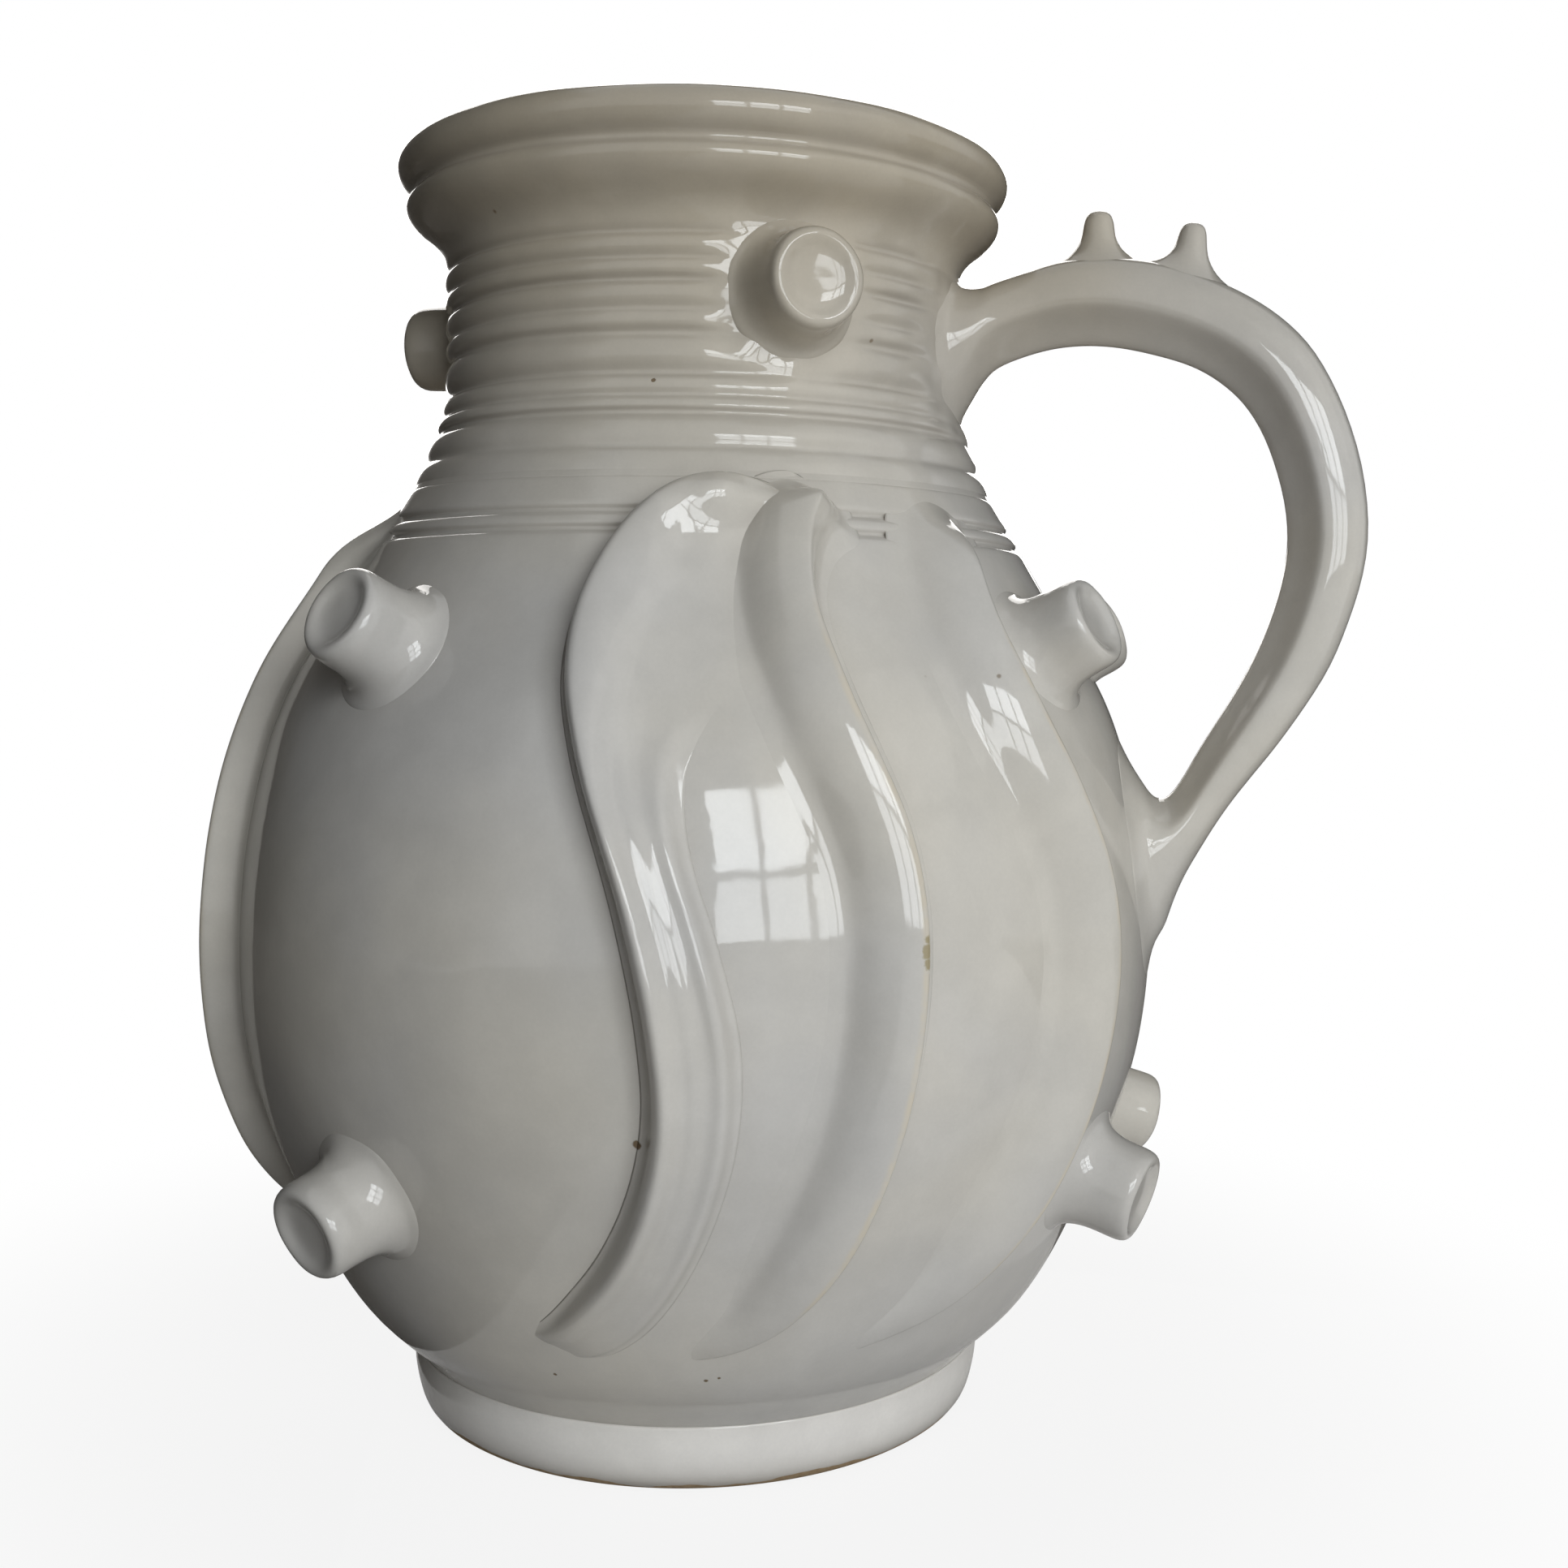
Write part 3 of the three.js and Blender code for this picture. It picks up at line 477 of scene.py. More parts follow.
def mix_glaze(name, tone, drift):
    glaze = bpy.data.materials.new(name)
    glaze.use_nodes = True
    tree = glaze.node_tree
    shader = tree.nodes["Principled BSDF"]
    body = tree.nodes.new("ShaderNodeGroup")
    body.node_tree = skin
    for coat, value in {"Tone": tone, "Drift": drift, **COATS}.items():
        body.inputs[coat].default_value = value
    bump = add_node(tree, "ShaderNodeBump", Strength=1.0, Distance=MM)
    tree.links.new(body.outputs["Height"], bump.inputs["Height"])
    tree.links.new(bump.outputs["Normal"], shader.inputs["Normal"])
    tree.links.new(body.outputs["Color"], shader.inputs["Base Color"])
    tree.links.new(body.outputs["Roughness"], shader.inputs["Roughness"])
    shader.inputs["IOR"].default_value = GLASS_IOR
    return glaze, tree, shader, body


white_glaze, *_ = mix_glaze("white_glaze", TONE, DRIFT)
foot_glaze, tree, shader, body = mix_glaze("foot_glaze", FOOT_TONE_AND_LIGHT, FOOT_DRIFT_AND_LIGHT)

# The hand that wipes the foot is never quite level
WIPED_SCALE, WIPED_LOW, WIPED_HIGH = 45, 0.8, 2.6
CLAY_ROUGH, GLAZED_SMOOTHER = 0.85, 0.75
BUFF_DARK, BUFF_LIGHT = (0.2, 0.13, 0.07, 1), (0.4, 0.3, 0.18, 1)
coords = tree.nodes.new("ShaderNodeTexCoord").outputs["Object"]
up_and_down = tree.nodes.new("ShaderNodeSeparateXYZ")
tree.links.new(coords, up_and_down.inputs["Vector"])
wobble = noise_node(tree, coords, WIPED_SCALE, 3)
wiped_at = ramp_node(tree, wobble, 0.3, 0.7, WIPED_LOW * MM, WIPED_HIGH * MM)
glazed = math_node(tree, "GREATER_THAN", up_and_down.outputs["Z"], wiped_at)
clay = mix_node(tree, noise_node(tree, coords, FINE_SCALE, 3), BUFF_DARK, BUFF_LIGHT)
tree.links.new(mix_node(tree, glazed, clay, body.outputs["Color"]), shader.inputs["Base Color"])
smoother = math_node(tree, "MULTIPLY", glazed, GLAZED_SMOOTHER)
dull = math_node(tree, "SUBTRACT", CLAY_ROUGH, smoother)
tree.links.new(dull, shader.inputs["Roughness"])
print("glazes:", white_glaze.name, foot_glaze.name)

# %% [markdown]
# ## The thrown pieces
#
# The belly, the neck and the foot come off the wheel, so each is a line spun round the axis. Two
# fine lines are scratched into the shoulder while the pot still turns. The foot of the neck lies
# over the rim of the belly, so that no groove shows where they join.

# %% Throw the belly
SHOULDER_LINES = (208.4, 212.4)
LINE_DEPTH = 1.9
OUTSIDE_FROM, OUTSIDE_STEP = 19, 4.6
INSIDE_FROM, INSIDE_STEP = 219, 4.85

outside = [(67.6, 14.6), (69.2, 14.6), (70.2, 15.1), (71.3, 16.4)]
outside += [(radius_on(BELLY_LINE, z), z) for z in [OUTSIDE_FROM + OUTSIDE_STEP * k for k in range(41)]]
for line in SHOULDER_LINES:
    for step, cut in ((-1.9, 0), (-0.8, 0), (0, LINE_DEPTH), (0.8, 0)):
        outside.append((radius_on(BELLY_LINE, line + step) - cut, line + step))
outside += [(radius_on(BELLY_LINE, z), z) for z in (214.8, 216.8, 218.4, 219.4)]
outside += [(70.6, 219.95), (69.8, 220.3), (68.4, 220.4), (66, 220.4)]
inside = []
for k in range(40):
    z = INSIDE_FROM - INSIDE_STEP * k
    inside.append((radius_on(BELLY_LINE, z) - WALL * math.hypot(1, lean_on(BELLY_LINE, z)), z))
underside = [(0, 7.5), (24, 7.5), (44, 7.5), (54, 7.6), (56.3, 8.6), (56.8, 11), (57, 14.4), (60, 15)]
floor = [(70, 24.5), (66, 20.5), (60, 17.6), (48, 16.5), (24, 16.4), (0, 16.4)]
belly = spin_on_wheel("belly_thrown", underside + outside + inside + floor)
finish_clay(belly, "belly", white_glaze)

# %% [markdown]
# The neck carries strong and fine grooves from the potter's tool. Between two grooves the clay
# swells a little. Above them the wall opens out into a lip with two rolled beads. Where a stud or
# the handle is luted on, a wet thumb wipes the grooves away and leaves soft dents.

# %% Throw the neck
NECK_GROOVES = [
    (226.5, 0.8), (233.7, 1.4), (237.5, 0.8), (242.3, 1.4), (250.7, 1.4),
    (255.8, 0.8), (261.8, 1.4), (266.4, 0.8), (271.8, 1.3),
]
SWELL, USUAL_BAND = 0.6, 8
# Share of the way between two grooves, and how much of the lower and of the upper one is there
BAND_POINTS = [(0.16, 0.45, 0), (0.32, 0.05, 0), (0.52, 0, 0), (0.72, 0, 0.05), (0.88, 0, 0.45)]

ringed = [(66.5, 218.4), (69.8, 218.4), (71, 218.9), (70.95, 219.6), (70.45, 220.3), (69.95, 221.2)]
below, cut_below = SEAM, 0
for height, depth in NECK_GROOVES:
    band = height - below
    for share, part_below, part_above in BAND_POINTS:
        z = below + band * share
        swell = SWELL * math.sin(math.pi * share) * band / USUAL_BAND
        ringed.append((radius_on(NECK_LINE, z) + swell - cut_below * part_below - depth * part_above, z))
    ringed.append((radius_on(NECK_LINE, height) - depth, height))
    below, cut_below = height, depth
lip = [
    (62.3, 272.9), (62.5, 274.6), (63.2, 276.4), (64.6, 278.2), (66.6, 279.9), (68.6, 281.4),
    (70.3, 283.1), (71.4, 284.9), (71.6, 286.4), (71.1, 287.7), (69.7, 288.7), (69.8, 289.8),
    (71.5, 291), (72.8, 292.5), (73.6, 294.6), (73.3, 296.6), (72.2, 298.3), (70.4, 299.6),
    (68.4, 300), (66.5, 299.5), (65.1, 298.1), (64.4, 296),
]
bore = [
    (62.8, 291.5), (59.6, 286), (57, 280), (55.6, 273), (55.2, 264), (55.4, 256), (55.2, 248),
    (55.5, 241), (57, 233), (59.6, 226), (62.6, 220.3),
]
neck = spin_on_wheel("neck_thrown", ringed + lip + bore)

# Angle, height, and how far the grooves are wiped out whole and in part
SMEARS = [(-56.5, 260, 15, 23.5), (56.5, 260, 15, 23.5), (176, 259.5, 15, 23.5), (0, 256, 19, 32)]
THUMB_DEPTH, THUMB_SIZE = 0.9, 7
OUTER_SKIN, SMEAR_PROUD = 3, 0.1
for vertex in neck.data.vertices:
    z = vertex.co.z / MM
    x, y = (vertex.co.x - AXIS_X) / MM, (vertex.co.y - AXIS_Y) / MM
    wall = radius_on(NECK_LINE, z)
    if z > NECK_TOP or math.hypot(x, y) < wall - OUTER_SKIN:
        continue
    wiped = 0
    for angle, middle, whole, part in SMEARS:
        aside = (math.degrees(math.atan2(y, x)) - angle + 180) % 360 - 180
        apart = math.hypot(math.radians(aside) * wall, z - middle)
        wiped = max(wiped, 1 - min(max((apart - whole) / (part - whole), 0), 1))
    wiped = wiped**2 * (3 - 2 * wiped)
    thumbed = noise.noise(vertex.co / (THUMB_SIZE * MM)) * THUMB_DEPTH
    grow = 1 + wiped * ((wall + SMEAR_PROUD + thumbed) / math.hypot(x, y) - 1)
    vertex.co = at(x * grow, y * grow, z)
finish_clay(neck, "neck", white_glaze)

# %% [markdown]
# The foot ring is turned with a looped tool when the pot is leather-hard. Its side bulges a
# little, and it stands on a flat edge round a shallow recess. One spun line gives all of it.

# %% Turn the foot ring
foot_profile = [
    (58.2, 0), (61.5, 0), (65.4, 0), (67.2, 0.3), (68.6, 1.6), (69.4, 4.2), (70, 7), (70.4, 9.6),
    (70.5, 11.8), (70.5, 13.4), (70.6, 14.8), (70.7, 15.8), (69.6, 16), (66, 15.6), (62, 15.4),
    (57.3, 15.3), (57.1, 11), (57.1, 6), (57.3, 2.4), (57.6, 0.6),
]
foot = spin_on_wheel("foot_ring_turned", foot_profile)
finish_clay(foot, "foot_ring", foot_glaze, depth=0)

# %% [markdown]
# ## Studs
#
# Each stud is a short plug of clay. Its root is smeared out on the wall with a finger, its waist
# is slim, and its end is dabbed in. The rings of a stud are circles at its end, and they bend to
# the wall towards the root. On the neck the root also fills the grooves under it.

# %% Shape a stud on the wall
SHOT_FROM, HALVINGS = 40, 30


def smooth_step(low, high, value):
    t = min(max((value - low) / (high - low), 0), 1)
    return t * t * (3 - 2 * t)


def drop_to_wall(line, start, inward):
    near, far = 0.0, 2.0 * SHOT_FROM
    for _ in range(HALVINGS):
        middle = (near + far) / 2
        point = start + inward * middle
        if math.hypot(point.x, point.y) > radius_on(line, point.z):
            near = middle
        else:
            far = middle
    return near


STUD_CORNERS = 28
# Radius, rise, how much the ring follows the wall
STUD_RINGS = [
    (11, -3.5, 1), (16.6, -0.7, 1), (15.4, 0, 1), (14.1, 0.5, 0.98), (12.9, 1.4, 0.92),
    (12, 2.8, 0.75), (11.35, 4.6, 0.5), (11, 6.8, 0.25), (10.9, 9.4, 0.05), (10.85, 12, 0),
    (10.65, 13.9, 0), (10, 15.05, 0), (9.1, 15.5, 0), (8.1, 15.4, 0), (7.1, 14.9, 0), (6, 14.3, 0),
    (4.4, 14, 0), (2.2, 13.9, 0),
]
NECK_SMEAR = 1.9
OVAL, TILT = (0.01, 0.035), (0.2, 0.6)
STUD_RADIUS, LEANS = 10, (4, 14)


def stud(name, node, angle, height, lift, seed):
    chance = random.Random(seed)
    line = NECK_LINE if height > SEAM else BELLY_LINE
    a, e = math.radians(angle), math.radians(lift)
    axis = Vector((math.cos(a) * math.cos(e), math.sin(a) * math.cos(e), math.sin(e)))
    side = Vector((0, 0, 1)).cross(axis).normalized()
    over = axis.cross(side)
    radius = radius_on(line, height)
    start = Vector((radius * math.cos(a), radius * math.sin(a), height)) + axis * SHOT_FROM
    base = drop_to_wall(line, start, -axis)
    oval, oval_way = chance.uniform(*OVAL), chance.uniform(0, math.pi)
    tilt, tilt_way = chance.uniform(*TILT), chance.uniform(0, 2 * math.pi)
    rings = []
    for ring_radius, rise, follow in STUD_RINGS:
        sink = NECK_SMEAR if height > SEAM and rise < 0 else 0
        ring = []
        for k in range(STUD_CORNERS):
            turn = 2 * math.pi * k / STUD_CORNERS
            wide = ring_radius * (1 + oval * math.cos(2 * turn + oval_way) * (1 - follow))
            offset = side * (math.cos(turn) * wide) + over * (math.sin(turn) * wide)
            drop = (drop_to_wall(line, start + offset, -axis) - base) * follow
            lean = tilt * math.cos(turn + tilt_way) * wide / STUD_RADIUS * smooth_step(*LEANS, rise)
            out = rise - sink - max(lean, 0)
            ring.append(at(*(start + offset - axis * (base + drop - out))))
        rings.append(ring)
    finish_clay(draw_out(name, rings), node, white_glaze, size=9)


# %% Lute the studs on
# Row, lift of its studs, and the angle and height of each
STUD_ROWS = [
    ("neck", 0, [(-56.5, 260.5), (56.5, 260), (176, 259.5)]),
    ("upper", 27, [(-20, 184.7), (-118.5, 183.8), (23.5, 184), (118.5, 184)]),
    ("lower", -16, [(-15.5, 66), (-117, 68.4), (19.5, 67.5), (117, 67.5)]),
]
seed = 1
for row, lift, places in STUD_ROWS:
    for k, (angle, height) in enumerate(places, 1):
        stud(f"{row}_stud_{k}_luted", f"{row}_stud_{k}", angle, height, lift, seed)
        seed += 1

# %% [markdown]
# ## The handle
#
# The handle is one pulled strap. It is given by its inner and outer edge in the plane of the
# handle and by half its width. Its section is rounded outside and widest near its middle, and
# from the soft ridge there a flat facet falls on each side to the inner edge. At both roots the
# last rings lie on the wall, so the clay runs out into the pot.

# %% Section and rows of the strap
STRAP_HALF = [
    (1, 0), (0.985, 0.25), (0.92, 0.5), (0.78, 0.73), (0.54, 0.89), (0.25, 0.97), (0, 1),
    (-0.16, 0.98), (-0.27, 0.88), (-0.4, 0.71), (-0.56, 0.51), (-0.73, 0.33), (-0.9, 0.17), (-1, 0),
]
STRAP_SECTION = STRAP_HALF + [(t, -w) for t, w in reversed(STRAP_HALF[1:-1])]
ROUND_SECTION = [
    (math.cos(2 * math.pi * k / len(STRAP_SECTION)), math.sin(2 * math.pi * k / len(STRAP_SECTION)))
    for k in range(len(STRAP_SECTION))
]
# Inner x, inner z, outer x, outer z, half width, how much of the strap's section
STRAP_ROWS = [
    (67.2, 245.8, 68.2, 270, 13.2, 0.2),
    (70.8, 250.2, 71, 271, 12.2, 0.7), (76.8, 252.8, 74.6, 272.2, 11.6, 1),
    (82.8, 254.6, 78.6, 273.5, 11.4, 1), (87.4, 255.4, 84.4, 275.3, 11.5, 1),
    (92.5, 255.7, 91.2, 276.2, 11.5, 1), (97.8, 255.3, 99.4, 276.3, 11.5, 1),
    (104, 254.3, 108.4, 275, 11.4, 1), (111.8, 252.4, 118.3, 272.2, 11.2, 1),
    (118.7, 249.8, 128.2, 267.6, 11, 1), (125.2, 245.6, 137.4, 262, 11, 1),
    (130.4, 240.4, 145.5, 253.5, 11, 1), (135.2, 231.6, 152.6, 240.4, 11, 1),
    (139, 219.4, 157.7, 223.4, 11, 1), (140, 208.3, 158.5, 206.6, 11, 1),
    (138, 197, 154.8, 191.6, 11, 1), (134, 185.4, 149.6, 178.6, 11, 1),
    (128.5, 174.5, 141.9, 166.2, 11, 1), (122.6, 164.4, 134.6, 156.2, 11, 1),
    (119.2, 158, 130.1, 150.2, 11.3, 1), (116.4, 153.2, 126.2, 144.2, 11.9, 0.95),
    (113.8, 150.3, 122.6, 138, 12.8, 0.8), (111.2, 150.6, 119.2, 131.6, 13.6, 0.55),
    (109.2, 153, 116.6, 125, 14.4, 0.3), (107.4, 155.6, 114.6, 118.6, 15, 0.1),
]
# Rings on the wall: middle height, half height, half width, how far proud of the wall
NECK_ROOT = [
    (256, 9, 9, -4), (254.8, 19.8, 19.5, -2.2), (254.8, 17.8, 17.4, -0.2), (255, 16, 15.6, 0.5),
    (255.4, 14.6, 14.3, 1.7),
]
BELLY_ROOT = [
    (136.4, -21, 16.2, 1.4), (135.8, -24.8, 18.2, 0.5), (135, -28.8, 20.4, 0.06),
    (134.5, -32.4, 22.6, -0.5), (134.5, -20, 10, -4),
]


def blend_rows(rows, position):
    last = len(rows) - 1
    k = min(int(position), last - 1)
    t = position - k
    a, b = rows[k], rows[k + 1]
    before, after = rows[max(k - 1, 0)], rows[min(k + 2, last)]
    return [
        0.5 * (2 * q + (r - p) * t + (2 * p - 5 * q + 4 * r - s) * t**2 + (3 * q - p - 3 * r + s) * t**3)
        for p, q, r, s in zip(before, a, b, after)
    ]


def wall_ring(line, middle, half_height, half_width, proud):
    ring = []
    for c, s in ROUND_SECTION:
        z, y = middle + half_height * c, half_width * s
        ring.append(at(math.sqrt(radius_on(line, z) ** 2 - y**2) + proud, y, z))
    return ring


def strap_ring(inner_x, inner_z, outer_x, outer_z, half_width, strap):
    middle_x, middle_z = (inner_x + outer_x) / 2, (inner_z + outer_z) / 2
    half_x, half_z = (outer_x - inner_x) / 2, (outer_z - inner_z) / 2
    ring = []
    for (t1, w1), (t0, w0) in zip(STRAP_SECTION, ROUND_SECTION):
        t, w = t0 + (t1 - t0) * strap, w0 + (w1 - w0) * strap
        ring.append(at(middle_x + half_x * t, half_width * w, middle_z + half_z * t))
    return ring


# %% Pull the handle
ROWS_BETWEEN = 2
rings = [wall_ring(NECK_LINE, *one) for one in NECK_ROOT]
for k in range((len(STRAP_ROWS) - 1) * ROWS_BETWEEN + 1):
    rings.append(strap_ring(*blend_rows(STRAP_ROWS, k / ROWS_BETWEEN)))
rings += [wall_ring(BELLY_LINE, *one) for one in BELLY_ROOT]
handle = draw_out("handle_pulled", rings)
finish_clay(handle, "handle", white_glaze, size=14)

# %% [markdown]
# Two thumb nubs stand on the crown. Each is pinched up out of a root that runs a long way along
# the strap and a short way across it. A ray shot down at the strap finds where the root lies.

# %% Pinch up the nubs
NUB_CORNERS = 24
# Radius along and across the strap, rise, how much it follows the strap
NUB_RINGS = [
    (9, 5, -3, 1), (13.6, 8.8, -0.8, 1), (11.4, 7.9, 0, 1), (9, 6.9, 0.5, 1), (6.9, 5.9, 1.4, 0.9),
    (5.4, 5, 2.8, 0.7), (4.3, 4.2, 4.6, 0.4), (3.9, 3.9, 6.6, 0.1), (3.7, 3.7, 8.4, 0),
    (3.3, 3.3, 9.8, 0), (2.5, 2.5, 10.8, 0), (1.2, 1.2, 11.2, 0),
]
# Distance from the axis, lean in degrees, slimness
NUBS = [(95.1, 0, 1.0), (116.7, 6, 0.94)]
CROWN, ABOVE_CROWN = 280, 20


def nub(name, node, reach, lean, slim):
    strap = BVHTree.FromObject(handle, bpy.context.evaluated_depsgraph_get())
    a = math.radians(lean)
    axis = Vector((math.sin(a), 0, math.cos(a)))
    along = Vector((math.cos(a), 0, -math.sin(a)))
    start = Vector((reach, 0, CROWN)) + axis * ABOVE_CROWN

    def drop(offset):
        return strap.ray_cast(at(*(start + offset)), -axis)[3] / MM

    base = drop(Vector())
    rings = []
    for long_radius, short_radius, rise, follow in NUB_RINGS:
        ring = []
        for k in range(NUB_CORNERS):
            turn = 2 * math.pi * k / NUB_CORNERS
            grip = slim + (1 - slim) * follow
            offset = along * (math.cos(turn) * long_radius * grip)
            offset += Vector((0, math.sin(turn) * short_radius * grip, 0))
            down = base + (drop(offset) - base) * follow - rise
            ring.append(at(*(start + offset - axis * down)))
        rings.append(ring)
    finish_clay(draw_out(name, rings), node, white_glaze, depth=0.25, size=7)


for k, (reach, lean, slim) in enumerate(NUBS, 1):
    nub(f"handle_nub_{k}_pinched", f"handle_nub_{k}", reach, lean, slim)

# %% [markdown]
# ## The S-shaped ribs
#
# Three coils make one set: a broad strap and two ramps. Each is given by its crest line on the
# belly, as degrees round the axis and height. A ramp climbs softly on one side, has a sharp
# crest, and drops steeply on the other. The strap starts as a broad leaf that bends over to its
# neighbour and narrows to a band with two shallow flutes. All of them die away at the foot.

# %% Points on the belly
def on_belly(angle, height, proud):
    tilt = math.atan(-lean_on(BELLY_LINE, height))
    r = radius_on(BELLY_LINE, height) + proud * math.cos(tilt)
    a = math.radians(angle)
    return at(r * math.cos(a), r * math.sin(a), height + proud * math.sin(tilt))


def stretch(height):
    return radius_on(BELLY_LINE, height) * math.pi / 180, math.hypot(1, lean_on(BELLY_LINE, height))


print("mm per degree at the girth:", round(stretch(GIRTH)[0], 2))

# %% [markdown]
# Both ramps share one section. At the start the crest rises a little sooner than the soft side
# does. At the end all of it sinks into the wall, so that no cut face shows. A curve with a
# bevel would give the same section along the whole way, and so it isn't used.

# %% Ramps
RAMP_STATIONS = 72
RAMP_HEIGHT = 8
CROWDING = 1.3
# Across the crest, rise as a share of the height, thinness of the glaze
RAMP_SECTION = [
    (-19, -0.04, 0), (-17, -0.01, 0), (-15, 0.012, 0), (-13.4, 0.05, 0), (-12.1, 0.13, 0),
    (-10.8, 0.28, 0), (-9.6, 0.42, 0), (-8.5, 0.54, 0), (-7.2, 0.66, 0), (-5.6, 0.79, 0),
    (-3.8, 0.895, 0), (-2.3, 0.955, 0), (-1.2, 0.985, 0.5), (-0.4, 1, 1), (0.3, 0.99, 1),
    (0.9, 0.9, 0.5), (1.35, 0.72, 0.1), (1.8, 0.5, 0), (2.3, 0.3, 0), (3, 0.14, 0),
    (4, 0.045, 0), (5.2, 0.005, 0), (6.6, -0.04, 0), (4, -0.35, 0), (-14, -0.35, 0),
]
RAMP_LINES = {
    2: [
        (-53.6, 217), (-57.4, 211.5), (-60, 203), (-60.8, 190), (-59.2, 176), (-56.4, 162),
        (-53.8, 148), (-52.6, 132), (-52.8, 114), (-54.2, 94), (-56.6, 76), (-60.2, 60),
        (-65.2, 47.5), (-71.5, 40), (-77, 38),
    ],
    3: [
        (-26, 216), (-30.4, 209), (-33.6, 198), (-34.8, 184), (-33.2, 170), (-29.8, 155),
        (-26.8, 139), (-25.8, 122), (-26.8, 104), (-29.6, 84), (-33.6, 66), (-39.6, 50),
        (-47, 40.5), (-55, 35.5),
    ],
}
SINK = 0.45
# Shares of the way along a ramp between which something sets in or ends
WIDE_END, NARROW_END, TAIL_END = (0.03, 0.2), (-0.02, 0.1), (0.74, 1.0)
THIN_START, THIN_END = (0.12, 0.3), (0.75, 0.95)
LOOK_AHEAD, WIDER, TIP_WIDTH = 0.02, 1.6, 0.4
# Across the crest: from where on the steep side widens, and where slow growth turns to quick
STEEP_FROM, SOFT_SIDE = 0.9, (-9, -0.5)


def ramp(name, line, crest_start, ramp_start):
    last = len(line) - 1
    rings, marks = [], []
    for k in range(RAMP_STATIONS):
        u = (k / (RAMP_STATIONS - 1)) ** CROWDING
        angle, height = blend_rows(line, u * last)
        a0, z0 = blend_rows(line, max(u * last - LOOK_AHEAD, 0))
        a1, z1 = blend_rows(line, min(u * last + LOOK_AHEAD, last))
        per_degree, per_height = stretch(height)
        way = Vector(((a1 - a0) * per_degree, (z1 - z0) * per_height)).normalized()
        tail = 1 - smooth_step(*TAIL_END, u)
        quick, slow = smooth_step(0, crest_start, u) * tail, smooth_step(0, ramp_start, u) * tail
        soft = 1 + WIDER * (1 - smooth_step(*WIDE_END, u))
        grow = TIP_WIDTH + (1 - TIP_WIDTH) * min(smooth_step(*NARROW_END, u), tail)
        ring, mark = [], []
        for across, rise, thinness in RAMP_SECTION:
            aside = across * grow * (soft if across > STEEP_FROM else 1)
            turned = angle - way.y * aside / per_degree
            raised = height + way.x * aside / per_height
            grown = slow + (quick - slow) * smooth_step(*SOFT_SIDE, across)
            proud = max(rise, 0) * RAMP_HEIGHT * grown + min(rise, 0) * RAMP_HEIGHT - SINK * (1 - grown)
            ring.append(on_belly(turned, raised, proud))
            mark.append(thinness * smooth_step(*THIN_START, u) * (1 - smooth_step(*THIN_END, u)))
        rings.append(ring)
        marks.append(mark)
    return draw_out(name, rings, marks)


print("a ramp has", RAMP_STATIONS, "rings of", len(RAMP_SECTION), "points")

# %% [markdown]
# The strap changes its width, so it is given by two edges, its crest and its toe. Its top blends
# from the section of the leaf to that of the band. Where fingers bent the leaf over, a noise
# crumples it.

# %% Strap
STRAP_STATIONS = 80
STRAP_HEIGHT = 7.45
# Crest angle and height, toe angle and height on the side of the neighbour, rise, leaf or band
STRAP_LINE = [
    (-60, 213.5, -59.5, 206.5, 0.25, 0), (-65.5, 216.2, -61.5, 203.5, 0.55, 0),
    (-71.5, 216.8, -63.5, 200, 0.8, 0), (-77.5, 214.4, -65.2, 196, 0.95, 0),
    (-82.3, 209.5, -66.4, 191, 1, 0), (-85.8, 202.5, -67.4, 185.5, 1, 0),
    (-88, 194, -69.4, 179.5, 1, 0), (-88.8, 185.5, -71.8, 175, 1, 0),
    (-88.4, 176.5, -74.6, 169.5, 1, 0.12), (-87, 166.5, -76.8, 161.5, 1, 0.42),
    (-85.2, 156, -76.8, 151.8, 1, 0.8), (-83, 145, -75.6, 141.4, 1, 1),
    (-81, 134, -73.9, 131.7, 1, 1), (-79.4, 122.5, -72.4, 121.3, 1, 1),
    (-78.2, 110, -71, 109.2, 1, 1), (-77.6, 97, -70.7, 96.2, 1, 1),
    (-78.3, 84.5, -71.5, 82.8, 0.98, 1), (-80.2, 72.5, -73.6, 69, 0.92, 1),
    (-83.3, 61.5, -76.6, 56.8, 0.8, 1), (-87.4, 52, -80.9, 46.4, 0.6, 1),
    (-91.6, 44.5, -86, 39.6, 0.3, 1), (-95.4, 40.5, -91, 36.4, 0, 1),
]
# Across the crest, rise
OUTER_WALL = [
    (-5.6, -0.03), (-4.2, 0.03), (-3.3, 0.14), (-2.7, 0.34), (-2.3, 0.56), (-1.8, 0.76), (-1, 0.92),
]
# Share of the way to the toe, rise of the leaf, rise of the band
STRAP_TOP = [
    (0, 1, 1), (0.08, 0.98, 0.97), (0.16, 0.92, 0.84), (0.25, 0.76, 0.69), (0.33, 0.57, 0.63),
    (0.41, 0.4, 0.63), (0.5, 0.26, 0.57), (0.6, 0.15, 0.48), (0.7, 0.08, 0.49), (0.78, 0.04, 0.53),
    (0.86, 0.015, 0.49), (0.93, 0.002, 0.35), (1, -0.008, 0.14), (1.08, -0.02, 0.02),
    (1.2, -0.05, -0.03),
]
STRAP_BASE = [(0.9, -0.35), (0.1, -0.35)]
CRUMPLE, CRUMPLE_SIZE, CRUMPLE_END = 2.4, 8, (0.14, 0.26)
LOW_RISE, LOWER_HALF = (0, 0.35), (0.5, 0.6)


